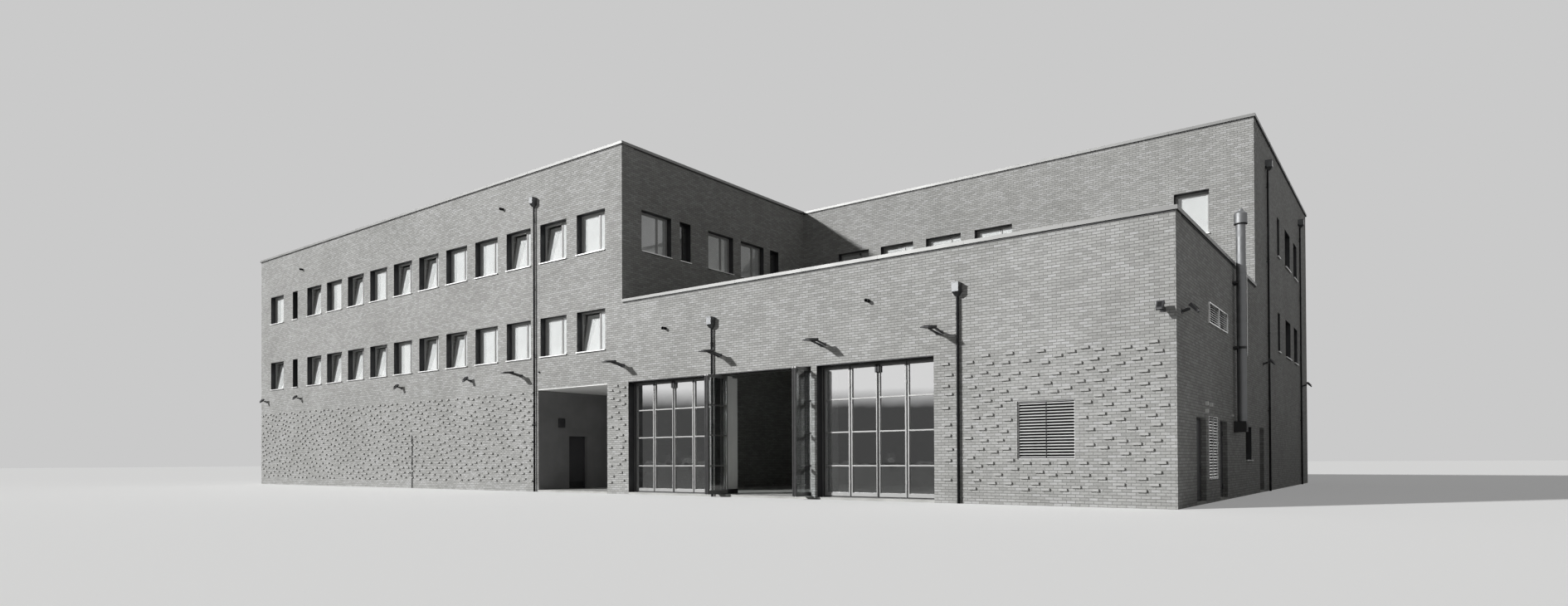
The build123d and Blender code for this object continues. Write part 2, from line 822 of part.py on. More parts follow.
def downpipe(at, top):
    """A hopper head against the wall with a round pipe below it, clipped to the wall."""
    width, depth, height = hopper
    centre_y = -(pipe_stand_off + pipe_radius)
    bottom = top - height - hopper_taper
    box = block((at - width / 2, at + width / 2), (-depth, 0), (top - height, top))
    low_x = (width / 2 - pipe_radius, width / 2 + pipe_radius)
    low_y = (depth + centre_y - pipe_radius, depth + centre_y + pipe_radius)
    cone = Wedge(width, hopper_taper, depth, low_x[0], low_y[0], low_x[1], low_y[1], align=Align.MIN)
    funnel = Pos(at - width / 2, -depth, top - height) * Rot(-90, 0, 0) * cone
    pipe = Pos(at, centre_y, bottom / 2) * bar(pipe_radius, bottom)
    whole = fuse(box, funnel, pipe)
    clips = int(bottom // clip_spacing)
    for clip in range(1, clips + 1):
        z = clip * bottom / (clips + 1)
        up = (z - clip_height / 2, z + clip_height / 2)
        whole += block((at - pipe_radius / 2, at + pipe_radius / 2), (centre_y, 0), up)
    return whole


def spout(at, level):
    """An overflow pipe that sticks out of the wall."""
    return Pos(at, -spout_length / 2, level) * Rot(90, 0, 0) * bar(spout_radius, spout_length)


def build_rainwater():
    main = [FRONT * downpipe(front_pipe_at, main_roof_level + main_hopper_over_roof)]
    for at in (hall_depth + end_pipe_from_court, last_end_pipe_at):
        main.append(END * downpipe(at, main_roof_level + end_hopper_over_roof))
    hall = [
        HALL_FRONT * downpipe(at, hall_roof_level + hall_hopper_over_roof)
        for at in (gate_start(1) - pipe_on_gate_pier, hall_pipe_at)
    ]
    save("downpipes", both_sides(main) + hall)
    main_spouts = [
        FRONT * spout(at, main_roof_level + spout_over_roof)
        for at in (front_spout_at, front_pipe_at - spout_before_pipe)
    ]
    hall_spouts = [HALL_FRONT * spout(at, hall_roof_level + spout_over_roof) for at in hall_spouts_at]
    save("overflow_spouts", both_sides(main_spouts) + hall_spouts)


def build_flue():
    centre_y = -(flue_stand_off + flue_radius)
    flue_bottom = door_head + flue_over_door_head
    flue_top = hall_top + flue_over_hall
    pipe_middle = (flue_bottom + flue_top) / 2
    pipe = Pos(0, 0, pipe_middle) * bar(flue_radius, flue_top - flue_bottom, flue_sides)
    cowl = Pos(0, 0, flue_top + cowl_height / 2) * bar(cowl_radius, cowl_height, flue_sides)
    cap_middle = flue_top + cowl_height + cowl_cap_height / 2
    cap = Pos(0, 0, cap_middle) * bar(flue_radius, cowl_cap_height, flue_sides)
    stack = Pos(flue_at, centre_y, 0) * fuse(pipe, cowl, cap)
    foot_x = (flue_at - flue_foot_width / 2, flue_at + flue_foot_width / 2)
    foot_z = (flue_bottom - flue_foot_height, flue_bottom)
    foot = block(foot_x, (centre_y - flue_radius, 0), foot_z)
    whole = fuse(stack, foot)
    for level in (gate_head + flue_bracket_over_gate_head, hall_top - flue_bracket_under_hall_top):
        up = (level, level + flue_bracket_height)
        whole += block(foot_x, (centre_y, 0), up)
    save("flue", [END * whole])


def wall_lamp(at, reach=lamp_arm_reach, head=lamp_head):
    """A flood light on a square arm that stands out from a wall plate."""
    width, depth, height = lamp_plate
    plate_z = (lamp_level - height / 2, lamp_level + height / 2)
    plate = block((at - width / 2, at + width / 2), (-depth, 0), plate_z)
    arm_start = depth / 2
    arm_run = reach - arm_start
    arm_angle = math.degrees(math.atan2(lamp_arm_rise, arm_run))
    arm_middle = (at, -(arm_start + arm_run / 2), lamp_level + lamp_arm_rise / 2)
    arm = Pos(*arm_middle) * Rot(-arm_angle, 0, 0)
    arm = arm * Box(lamp_arm, math.hypot(lamp_arm_rise, arm_run), lamp_arm)
    head_width, head_depth, head_height = head
    head_y = -(reach + head_depth / 2 - lamp_arm / 2)
    housing = Pos(at, head_y, lamp_level + lamp_arm_rise) * Rot(lamp_tilt, 0, 0)
    housing = housing * Box(head_width, head_depth, head_height)
    return fuse(plate, arm, housing)


def build_lamps():
    on_wing = [front_pipe_at - lamp_before_pipe]
    on_hall = [corner_lamp_at]
    on_hall += [gate_start(gate) + lamp_beside_pier for gate in range(1, gates)]
    on_hall += [gates_end + lamp_after_gates]
    on_end = [
        end_lamp_at,
        hall_depth + end_lamp_from_court,
        last_end_pipe_at + end_lamp_after_pipe,
    ]
    lamps = [FRONT * wall_lamp(at) for at in on_wing]
    lamps += [HALL_FRONT * wall_lamp(at) for at in on_hall]
    lamps += [FRONT * wall_lamp(at, small_lamp_arm_reach, small_lamp_head) for at in small_lamps_at]
    at_corner = hall_length - lamp_before_corner
    lamps.append(HALL_FRONT * wall_lamp(at_corner, small_lamp_arm_reach, small_lamp_head))
    lamps += [END * wall_lamp(at) for at in on_end]
    save("wall_lamps", lamps)


os.makedirs("parts", exist_ok=True)
build_walls()
build_hall_walls()
build_porch()
build_slabs()
build_copings()
build_windows()
build_gates()
build_doors()
build_louvres()
build_rainwater()
build_flue()
build_lamps()
for door in doorways:
    pin = door.place * Pos(door_pin_x(door), hinge_y, 0)
    print(door.name, "pin at", [round(value, 3) for value in pin.position])
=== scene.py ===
"""A half-size fire station, dressed for its photograph: brick, glass, sheet metal and the fittings on its walls."""
import json
import logging
import math
import random
from contextlib import contextmanager
from dataclasses import dataclass, replace
from enum import Enum
from typing import Iterable, Iterator, Sequence

import bmesh
import bpy
from mathutils import Matrix, Vector


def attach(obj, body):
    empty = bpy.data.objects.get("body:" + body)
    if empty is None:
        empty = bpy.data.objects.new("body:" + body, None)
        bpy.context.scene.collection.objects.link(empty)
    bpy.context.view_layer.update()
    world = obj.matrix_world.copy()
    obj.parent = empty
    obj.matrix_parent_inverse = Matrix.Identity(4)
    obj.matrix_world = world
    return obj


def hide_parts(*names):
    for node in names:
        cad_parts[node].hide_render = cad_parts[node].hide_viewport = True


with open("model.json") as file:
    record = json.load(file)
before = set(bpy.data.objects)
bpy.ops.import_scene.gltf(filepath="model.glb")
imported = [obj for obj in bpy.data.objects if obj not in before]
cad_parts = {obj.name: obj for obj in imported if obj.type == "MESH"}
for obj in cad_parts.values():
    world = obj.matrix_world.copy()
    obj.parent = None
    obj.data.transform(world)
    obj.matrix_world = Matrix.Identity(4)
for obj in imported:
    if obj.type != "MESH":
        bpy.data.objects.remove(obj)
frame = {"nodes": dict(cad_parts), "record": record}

log = logging.getLogger("fire_station")
Span = tuple[float, float]
Triple = tuple[float, float, float]
Part = bpy.types.Object
Tree = bpy.types.NodeTree
Socket = bpy.types.NodeSocket

# the building's outline and heights in metres, then a brick's pitch in the wall with its joints
LEFT, RIGHT, FRONT_Y, BACK_Y = -13.8525, 13.8525, -7.145, 7.145
WING_RIGHT, HALL_BACK = 3.2775, -1.015
WALL, FLOOR = 0.25, 0.04
MAIN_TOP, HALL_TOP, MAIN_ROOF, HALL_ROOF, GATE_HEAD = 7.08, 3.868, 6.425, 3.18, 2.25
BRICK_PITCH, COURSE = 0.125, 1 / 24


@dataclass(frozen=True)
class WallPlane:
    """The outer face of a wall: X runs along it as seen from outside, Y goes into it, Z is up.

    Fields: start is its corner on the ground, turn its angle about Z in degrees.
    """

    start: Span
    turn: float

    def at(self, x: float = 0.0, y: float = 0.0, z: float = 0.0) -> Matrix:
        """Returns the matrix from a place in the wall's frame to the building's."""
        corner = Matrix.Translation((*self.start, 0.0)) @ Matrix.Rotation(math.radians(self.turn), 4, "Z")
        return corner @ Matrix.Translation((x, y, z))

    def behind(self) -> "WallPlane":
        """Returns the same wall on the far side, after half a turn of the plan."""
        return WallPlane((-self.start[0], -self.start[1]), self.turn + 180.0)


class Face(Enum):
    """The walls that carry windows and fittings."""

    FRONT = WallPlane((LEFT, FRONT_Y), 0.0)
    HALL = WallPlane((WING_RIGHT, FRONT_Y), 0.0)
    COURT = WallPlane((WING_RIGHT, HALL_BACK), 0.0)
    SIDE = WallPlane((WING_RIGHT, FRONT_Y), 90.0)
    END = WallPlane((RIGHT, FRONT_Y), 90.0)
    PORCH = WallPlane((LEFT + 14.375, FRONT_Y), 90.0)


class Way(Enum):
    """Where a face looks, in a wall's frame."""

    UP = (0, 0, 1)
    DOWN = (0, 0, -1)
    OUT = (0, -1, 0)
    IN = (0, 1, 0)


class Bench:
    """Adds primitives and shapes them with Blender's own operators, as by hand."""

    @staticmethod
    def hold(obj: Part | None = None) -> None:
        """Leaves edit mode and selects one object alone, or nothing.

        Args:
            obj: the object that becomes selected and active.
        """
        if bpy.context.object is not None and bpy.context.object.mode != "OBJECT":
            bpy.ops.object.mode_set(mode="OBJECT")
        bpy.ops.object.select_all(action="DESELECT")
        if obj is not None:
            obj.select_set(True)
            bpy.context.view_layer.objects.active = obj

    @staticmethod
    def settled() -> Part:
        """Puts the place, turn and size of the object just added into its mesh.

        Returns:
            The object, at the origin.
        """
        obj = bpy.context.object
        Bench.hold(obj)
        bpy.ops.object.transform_apply(location=True, rotation=True, scale=True)
        return obj

    @staticmethod
    @contextmanager
    def shaping(obj: Part) -> Iterator[None]:
        """Opens a piece in edit mode with nothing selected, and closes it again.

        Args:
            obj: the piece.
        """
        Bench.hold(obj)
        bpy.ops.object.mode_set(mode="EDIT")
        bpy.ops.mesh.select_all(action="DESELECT")
        yield
        bpy.ops.object.mode_set(mode="OBJECT")

    @staticmethod
    def pick(obj: Part, *ways: Way) -> None:
        """Selects the faces of the piece in edit mode that look one of some ways, within 25 degrees.

        Args:
            obj: the piece in edit mode.
            ways: where the faces look.
        """
        bpy.ops.mesh.select_all(action="DESELECT")
        bpy.ops.mesh.select_mode(type="FACE")
        mesh = bmesh.from_edit_mesh(obj.data)
        for face in mesh.faces:
            if any(face.normal.dot(Vector(way.value)) > 0.9 for way in ways):
                face.select_set(True)
        bmesh.update_edit_mesh(obj.data)

    @staticmethod
    def press(obj: Part, way: Way, scale: Triple | None = None, inset: float = 0.0, move: Triple | None = None,
              draw: Triple | None = None) -> Part:
        """Shapes the faces that look one way: resizes them, insets them, moves what is inside or draws it out.

        Args:
            obj: the piece.
            way: where the faces look.
            scale: their new size, about their middle.
            inset: the width of the rim that the inset leaves.
            move: how far they are moved, their sides with them.
            draw: how far they are extruded.

        Returns:
            The piece.
        """
        with Bench.shaping(obj):
            Bench.pick(obj, way)
            if scale:
                bpy.ops.transform.resize(value=scale)
            if inset:
                bpy.ops.mesh.inset(thickness=inset, depth=0)
            if move:
                bpy.ops.transform.translate(value=move)
            if draw:
                bpy.ops.mesh.extrude_region_move(TRANSFORM_OT_translate={"value": draw})
        return obj

    @staticmethod
    def softened(obj: Part, edge: float) -> Part:
        """Takes the sharpness off a piece's edges.

        Args:
            obj: the piece.
            edge: the bevel's width, none at zero.

        Returns:
            The piece.
        """
        if edge:
            with Bench.shaping(obj):
                bpy.ops.mesh.select_all(action="SELECT")
                bpy.ops.mesh.bevel(offset=edge, segments=1, affect="EDGES")
        return obj

    @staticmethod
    def block(x: Span, y: Span, z: Span, edge: float = 0.0) -> Part:
        """Adds a block between limits.

        Args:
            x, y, z: the limits on each axis, in metres.
            edge: the bevel on its edges.

        Returns:
            The block.
        """
        Bench.hold()
        bpy.ops.mesh.primitive_cube_add(size=1, location=[(a + b) / 2 for a, b in (x, y, z)],
                                        scale=[b - a for a, b in (x, y, z)])
        return Bench.softened(Bench.settled(), edge)

    @staticmethod
    def ring(x: Span, y: Span, z: Span, width: float, edge: float = 0.0) -> Part:
        """Makes a rectangular frame that stands in the XZ plane: a block inset on both faces and cut through.

        Args:
            x, y, z: its outer limits.
            width: the width of its four members.
            edge: the bevel on its edges.

        Returns:
            The frame.
        """
        obj = Bench.block(x, y, z)
        with Bench.shaping(obj):
            Bench.pick(obj, Way.OUT, Way.IN)
            bpy.ops.mesh.inset(thickness=width, depth=0, use_individual=True)
            bpy.ops.mesh.bridge_edge_loops()
        return Bench.softened(obj, edge)

    @staticmethod
    def round_bar(start: Sequence[float], end: Sequence[float], radius: float, sides: int = 20) -> Part:
        """Adds a round bar between two points, smooth along its side.

        Args:
            start, end: the middles of its two ends.
            radius: its radius.
            sides: how many faces run round it.

        Returns:
            The bar.
        """
        Bench.hold()
        a, b = Vector(start), Vector(end)
        turn = Vector((0, 0, 1)).rotation_difference(b - a).to_euler()
        bpy.ops.mesh.primitive_cone_add(vertices=sides, radius1=radius, radius2=radius, depth=(b - a).length,
                                        location=(a + b) / 2, rotation=turn)
        obj = Bench.settled()
        bpy.ops.object.shade_smooth_by_angle(angle=math.radians(40))
        return obj

    @staticmethod
    def moved(obj: Part, place: Matrix) -> Part:
        """Puts a finished piece where a matrix says, in its mesh.

        Args:
            obj: the piece, modelled in another frame.
            place: from that frame to the building's.

        Returns:
            The piece.
        """
        obj.data.transform(place)
        obj.data.update()
        return obj

    @staticmethod
    def copies(model: Part, places: Iterable[Matrix]) -> list[Part]:
        """Copies one modelled thing to many places, each copy with its own mesh, and removes the model.

        Args:
            model: the thing, at its own origin.
            places: where the copies go.

        Returns:
            The copies.
        """
        made = []
        for place in places:
            mesh = model.data.copy()
            mesh.transform(place)
            copy = bpy.data.objects.new(model.name, mesh)
            bpy.context.scene.collection.objects.link(copy)
            made.append(copy)
        bpy.data.objects.remove(model)
        return made

    @staticmethod
    def join(parts: Sequence[Part], name: str) -> Part:
        """Joins parts into one named piece.

        Args:
            parts: the objects, at the origin.
            name: the piece's name.

        Returns:
            The piece.
        """
        Bench.hold(parts[0])
        for part in parts:
            part.select_set(True)
        if len(parts) > 1:
            bpy.ops.object.join()
        piece = bpy.context.view_layer.objects.active
        piece.name = piece.data.name = name
        return piece


def fit(parts: Sequence[Part], name: str, finish: "Finish", wall: Face | None = None,
        body: str = "building", replaces: Sequence[str] = ()) -> None:
    """Joins parts into a piece, gives it its finish, lets it ride on a body and reports it.

    Args:
        parts: the finished meshes.
        name: the piece's name.
        finish: its surface.
        wall: the wall in whose frame the parts are, none where they are in place.
        body: the CAD body that carries the piece.
        replaces: the CAD nodes that it stands for.
    """
    if wall is not None:
        for part in parts:
            Bench.moved(part, wall.value.at())
    piece = Bench.join(parts, name)
    piece.data.materials.clear()
    piece.data.materials.append(finish.make())
    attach(piece, body)
    if replaces:
        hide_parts(*replaces)
    log.info("%s: %d faces", piece.name, len(piece.data.polygons))


def linear(code: str) -> tuple[float, float, float, float]:
    """Turns an sRGB hex value into linear light.

    Args:
        code: six hex digits after a number sign.

    Returns:
        Red, green, blue and an alpha of one.
    """
    parts = [int(code[i:i + 2], 16) / 255 for i in (1, 3, 5)]
    return (*[p / 12.92 if p <= 0.04045 else ((p + 0.055) / 1.055) ** 2.4 for p in parts], 1.0)


def blank(owner: bpy.types.Material | bpy.types.World) -> Tree:
    """Switches the nodes of a material or a world on and clears them.

    Args:
        owner: the material or the world.

    Returns:
        Its empty node tree.
    """
    owner.use_nodes = True
    owner.node_tree.nodes.clear()
    return owner.node_tree


def add_node(tree: Tree, kind: str, options: dict | None = None, values: dict | None = None,
             links: dict | None = None, feeds: dict | None = None,
             stops: Sequence[tuple[float, str]] = ()) -> bpy.types.Node:
    """Adds a node with its settings and its links.

    Args:
        tree: the node tree.
        kind: the node's type name after ShaderNode.
        options: attributes of the node.
        values: default values by input.
        links: what comes into each input: a socket, or a node whose first output is meant.
        feeds: the sockets that its outputs go to, by output.
        stops: places and sRGB hex values along a colour ramp.

    Returns:
        The node.
    """
    made = tree.nodes.new("ShaderNode" + kind)
    for key, value in (options or {}).items():
        setattr(made, key, value)
    for key, value in (values or {}).items():
        made.inputs[key].default_value = value
    for key, source in (links or {}).items():
        tree.links.new(source.outputs[0] if isinstance(source, bpy.types.Node) else source, made.inputs[key])
    for key, target in (feeds or {}).items():
        tree.links.new(made.outputs[key], target)
    if stops:
        points = made.color_ramp.elements
        while len(points) < len(stops):
            points.new(0.5)
        for point, (at, code) in zip(points, stops):
            point.position, point.color = at, linear(code)
    return made


@dataclass(frozen=True)
class Finish:
    """A surface: one Principled shader, with a pattern that a subclass adds.

    Fields: name is the material's, colour an sRGB hex value, roughness, metallic and ior go to the shader.
    """

    name: str
    colour: str
    roughness: float
    metallic: float = 0.0
    ior: float = 1.5

    def make(self) -> bpy.types.Material:
        """Makes the material, once.

        Returns:
            The material.
        """
        if self.name in bpy.data.materials:
            return bpy.data.materials[self.name]
        material = bpy.data.materials.new(self.name)
        tree = blank(material)
        shader = add_node(tree, "BsdfPrincipled", values={
            "Base Color": linear(self.colour), "Roughness": self.roughness, "Metallic": self.metallic,
            "IOR": self.ior})
        add_node(tree, "OutputMaterial", links={"Surface": self.pattern(tree, shader)})
        return material

    def pattern(self, tree: Tree, shader: bpy.types.Node) -> Socket:
        """Leaves the shader as it is and returns its output; a subclass puts its grain, tone and relief here."""
        return shader.outputs["BSDF"]


@dataclass(frozen=True)
class Brickwork(Finish):
    """Facing brick in running bond with flush mortar joints.

    Fields: bricks are the greys of the fired bricks, mortar is the joint's, joint its width and depth its relief,
    batch the size of the clouds over the wall and grit that of the sand's spots, in metres.
    """

    bricks: tuple[str, ...] = ("#9f9f9d", "#a8a8a6", "#b0b0ae", "#bababa")
    mortar: str = "#848482"
    joint: float = 0.004
    depth: float = 0.003
    batch: float = 1.1
    grit: float = 0.012

    def pattern(self, tree: Tree, shader: bpy.types.Node) -> Socket:
        """Lays the courses round the corners of the building and gives each brick its own tone.

        Args:
            tree: the material's node tree.
            shader: its Principled shader.

        Returns:
            The socket that goes to the output.
        """
        place = add_node(tree, "TexCoord")
        axes = add_node(tree, "SeparateXYZ", links={0: place.outputs["Object"]})
        along = add_node(tree, "Math", {"operation": "ADD"}, links={0: axes.outputs["X"], 1: axes.outputs["Y"]})
        unrolled = add_node(tree, "CombineXYZ", links={"X": along, "Y": axes.outputs["Z"]})
        bond = add_node(tree, "TexBrick", {"offset": 0.5}, {
            "Color1": (0, 0, 0, 1), "Color2": (1, 1, 1, 1), "Mortar": (0.5, 0.5, 0.5, 1), "Scale": 1.0,
            "Mortar Size": self.joint, "Mortar Smooth": 0.2, "Brick Width": BRICK_PITCH, "Row Height": COURSE},
            {"Vector": unrolled})
        steps = len(self.bricks) - 1
        fired = add_node(tree, "ValToRGB", links={"Fac": bond.outputs["Color"]},
                         stops=[(i / steps, c) for i, c in enumerate(self.bricks)])
        # clouds of a metre or so: batches of brick and rain on the wall
        clouds = add_node(tree, "TexNoise", values={"Scale": 1 / self.batch, "Detail": 4.0},
                          links={"Vector": place.outputs["Object"]})
        batches = add_node(tree, "ValToRGB", links={"Fac": clouds}, stops=[(0.3, "#ececeb"), (0.7, "#ffffff")])
        # sand on the brick's face, in 12 mm spots, far coarser than the real grit so that it shows
        spots = add_node(tree, "TexNoise", values={"Scale": 1 / self.grit, "Detail": 3.0},
                         links={"Vector": place.outputs["Object"]})
        sand = add_node(tree, "ValToRGB", links={"Fac": spots}, stops=[(0.3, "#d8d8d7"), (0.7, "#ffffff")])
        laid = add_node(tree, "Mix", {"data_type": "RGBA"}, {7: linear(self.mortar)},
                        {0: bond.outputs["Fac"], 6: fired})
        multiply = {"data_type": "RGBA", "blend_type": "MULTIPLY"}
        stained = add_node(tree, "Mix", multiply, {0: 1.0}, {6: laid.outputs[2], 7: batches})
        add_node(tree, "Mix", multiply, {0: 0.6}, {6: stained.outputs[2], 7: sand}, {2: shader.inputs["Base Color"]})
        face = add_node(tree, "Math", {"operation": "SUBTRACT"}, {0: 1.0}, {1: bond.outputs["Fac"]})
        add_node(tree, "Bump", values={"Distance": self.depth, "Strength": 1.0}, links={"Height": face},
                 feeds={"Normal": shader.inputs["Normal"]})
        return shader.outputs["BSDF"]


@dataclass(frozen=True)
class Mottled(Finish):
    """A surface whose tone and gloss wander, such as cast concrete, painted render or rolled sheet.

    Fields: pale and dark are its two tones, spot the size of its clouds in metres, grain the size of its fine relief
    and relief its depth, gloss_spread how much its roughness wanders, stretch draws the clouds out.
    """

    pale: str = "#ffffff"
    dark: str = "#dddddd"
    spot: float = 0.4
    grain: float = 0.01
    relief: float = 0.0005
    gloss_spread: float = 0.08
    stretch: Triple = (1, 1, 1)

    def pattern(self, tree: Tree, shader: bpy.types.Node) -> Socket:
        """Lays clouds of tone and gloss over the surface, and a fine relief.

        Args:
            tree: the material's node tree.
            shader: its Principled shader.

        Returns:
            The socket that goes to the output.
        """
        place = add_node(tree, "TexCoord")
        drawn = add_node(tree, "Mapping", values={"Scale": self.stretch}, links={"Vector": place.outputs["Object"]})
        spots = add_node(tree, "TexNoise", values={"Scale": 1 / self.spot, "Detail": 4.0}, links={"Vector": drawn})
        add_node(tree, "ValToRGB", links={"Fac": spots}, feeds={"Color": shader.inputs["Base Color"]},
                 stops=[(0.3, self.dark), (0.7, self.pale)])
        low, high = self.roughness - self.gloss_spread, self.roughness + self.gloss_spread
        add_node(tree, "MapRange", values={"From Min": 0.3, "From Max": 0.7, "To Min": low, "To Max": high},
                 links={"Value": spots}, feeds={"Result": shader.inputs["Roughness"]})
        fine = add_node(tree, "TexNoise", values={"Scale": 1 / self.grain, "Detail": 2.0}, links={"Vector": drawn})
        add_node(tree, "Bump", values={"Distance": self.relief, "Strength": 1.0}, links={"Height": fine},
                 feeds={"Normal": shader.inputs["Normal"]})
        return shader.outputs["BSDF"]


@dataclass(frozen=True)
class Pane(Finish):
    """Flat glass, clear to what is behind it, that lets light through.

    Fields: wave is the length of its unevenness in metres and swell its depth.
    """

    wave: float = 0.35
    swell: float = 0.0002

    def pattern(self, tree: Tree, shader: bpy.types.Node) -> Socket:
        """Makes the shader glass, and lets light from the lamps and from matt surfaces pass it straight.

        Args:
            tree: the material's node tree.
            shader: its Principled shader.

        Returns:
            The mix of glass and clear passage.
        """
        shader.inputs["Transmission Weight"].default_value = 1.0
        place = add_node(tree, "TexCoord")
        waves = add_node(tree, "TexNoise", values={"Scale": 1 / self.wave, "Detail": 1.0},
                         links={"Vector": place.outputs["Object"]})
        add_node(tree, "Bump", values={"Distance": self.swell, "Strength": 1.0}, links={"Height": waves},
                 feeds={"Normal": shader.inputs["Normal"]})
        ray = add_node(tree, "LightPath")
        passage = add_node(tree, "BsdfTransparent", values={"Color": linear(self.colour)})
        light = add_node(tree, "Math", {"operation": "ADD", "use_clamp": True},
                         links={0: ray.outputs["Is Shadow Ray"], 1: ray.outputs["Is Diffuse Ray"]})
        return add_node(tree, "MixShader", links={0: light, 1: shader, 2: passage}).outputs[0]


@dataclass(frozen=True)
class Gravel(Finish):
    """Washed gravel on a flat roof.

    Fields: stone is the size of the stones and depth their relief, in metres.
    """

    stone: float = 0.022
    depth: float = 0.008

    def pattern(self, tree: Tree, shader: bpy.types.Node) -> Socket:
        """Strews stones, each with its own tone and a rounded top.

        Args:
            tree: the material's node tree.
            shader: its Principled shader.

        Returns:
            The socket that goes to the output.
        """
        place = add_node(tree, "TexCoord")
        stones = add_node(tree, "TexVoronoi", values={"Scale": 1 / self.stone},
                          links={"Vector": place.outputs["Object"]})
        add_node(tree, "ValToRGB", links={"Fac": stones.outputs["Color"]}, feeds={0: shader.inputs["Base Color"]},
                 stops=[(0.1, "#6f6e6b"), (0.5, "#9b9a97"), (0.9, "#c7c6c3")])
        raised = add_node(tree, "Math", {"operation": "SUBTRACT"}, {0: 1.0}, {1: stones.outputs["Distance"]})
        add_node(tree, "Bump", values={"Distance": self.depth, "Strength": 1.0}, links={"Height": raised},
                 feeds={"Normal": shader.inputs["Normal"]})
        return shader.outputs["BSDF"]


# Fired clay with a sanded face, laid in running bond: matt, light grey, every brick a little different
FACING_BRICK = Brickwork("facing brick, sanded light grey", "#b0b0ae", 0.88)
# The same clay where it stands out, seen brick by brick: matt, mottled from the kiln
RELIEF_BRICK = Mottled("facing brick, standing proud", "#b0b0ae", 0.88, pale="#b0b0ae", dark="#9c9c9a", spot=0.07,
                       grain=0.006, relief=0.0012)
# Concrete struck from smooth boards: even grey with soft clouds
CAST_CONCRETE = Mottled("cast concrete, board smooth", "#a9a9a6", 0.8, pale="#b8b8b5", dark="#9a9a97", spot=0.5,
                        grain=0.02, relief=0.001)
# Rolled aluminium, folded over the parapet: satin, bright where it faces the sun, faintly quilted
CAPPING_SHEET = Mottled("aluminium capping sheet, satin", "#6b6b6a", 0.5, 0.85, pale="#70706f", dark="#666665",
                        spot=0.5, grain=0.2, relief=0.0006, gloss_spread=0.04)
# Rolled zinc, left to weather: satin, with blooms the size of a hand
ZINC_SHEET = Mottled("zinc sheet, weathered", "#626364", 0.42, 0.8, pale="#696a6b", dark="#5a5b5c", spot=0.08,
                     grain=0.02, relief=0.0003)
# Powder baked on extruded profiles: mid grey, smooth with a faint skin
FRAME_COAT = Mottled("powder coated aluminium, mid grey", "#9c9c9b", 0.4, pale="#a2a2a1", dark="#969695", spot=0.25,
                     grain=0.004, relief=0.0002)
# The same powder in a dark shade, used as painted shade: dark frames that make a narrow window a slit, and dark
# sheets lining every reveal. The court windows' small stays are dark in their own right
DARK_FRAME_AND_PAINTED_SHADE = Mottled("powder coated aluminium, dark grey", "#2c2c2e", 0.4, pale="#323234", dark="#272729", spot=0.25,
                     grain=0.004, relief=0.0002)
# Anodised sheet folded into a sill: near white, a bright line under each window
SILL_SHEET = Mottled("aluminium sill sheet, anodised", "#dededd", 0.4, 0.5, pale="#e8e8e7", dark="#d2d2d1", spot=0.3,
                     grain=0.05, relief=0.0003)
# Float glass: sharp images that waver slowly. One sheet stands for an insulating unit of two, so its index is raised
# until it mirrors as much as both
WINDOW_PANE = Pane("float glass, insulating unit", "#f8f9f9", 0.0, ior=1.8)
# Float glass with a sputtered solar coating: it mirrors more than half of what it faces, which takes this high index
GATE_PANE = Pane("float glass, solar coated", "#f2f4f4", 0.0, ior=9.0)
# Extrusions etched and anodised: a fine matt silver, drawn out along the profile
GATE_PROFILE = Mottled("aluminium profile, natural anodised", "#8a8a89", 0.55, 0.9, pale="#8f8f8e", dark="#848483",
                       spot=0.12, grain=0.003, relief=0.0002, stretch=(1, 1, 0.1))
# Extruded EPDM: black and dull, with a faint bloom. The same black also stands as painted shade: trays behind
# the louvre blades, and strips under the sills that are part sealant, part the sills' shadow
RUBBER_AND_PAINTED_SHADE = Mottled("EPDM rubber, extruded", "#161616", 0.7, pale="#1b1b1b", dark="#111111", spot=0.05, grain=0.004,
                 relief=0.0003)
# Powder baked on steel leaves: dark grey and half matt, quiet beside the brick
DOOR_COAT = Mottled("powder coated steel door, dark grey", "#3c3c3e", 0.45, pale="#414143", dark="#37373a", spot=0.3,
                    grain=0.005, relief=0.0003)
# Paint baked on extruded blades: light grey and satin, so the blades read as lines over the dark tray behind
# them, which is painted shade in the shaft
LOUVRE_COAT = Mottled("aluminium louvre, light coat", "#c6c6c5", 0.42, pale="#cccccb", dark="#bfbfbe", spot=0.2,
                      grain=0.004, relief=0.0002)
# Extrusions polished and anodised: in the shade they still mirror the sky as bright lines
GRILLE_COAT = Mottled("aluminium grille, bright anodised", "#e8e8e7", 0.3, 0.8, pale="#ececeb", dark="#e2e2e1",
                      spot=0.2, grain=0.004, relief=0.0002)
# Steel sheet with a baked coat, seamed into tubes: near black, with a thin gleam down the middle
RAIN_SHEET = Mottled("coated steel rainwater goods, dark", "#18191a", 0.26, ior=1.25, pale="#1d1e1f", dark="#131415",
                     spot=0.3, grain=0.01, relief=0.0003)
# Stainless steel brushed round the tube: soft light that runs down it, in streaks coarse enough to show
FLUE_STEEL = Mottled("stainless steel tube, brushed round", "#7e7f80", 0.6, 1.0, pale="#858687", dark="#767778",
                     spot=0.4, grain=0.01, relief=0.0002, stretch=(0.3, 0.3, 4.0))
# Aluminium die-cast and coated dark: dull and a little uneven
LAMP_COAT = Mottled("die-cast lamp housing, dark coat", "#3a3a3c", 0.5, pale="#404042", dark="#343436", spot=0.1,
                    grain=0.004, relief=0.0003)
# Mineral paint rolled on smooth render: chalky, without gloss, with clouds as wide as a stroke
WHITE_PAINT = Mottled("mineral paint on render, white", "#f0f0ee", 0.85, pale="#f3f3f1", dark="#ebebe9", spot=0.5,
                      grain=0.006, relief=0.0006)
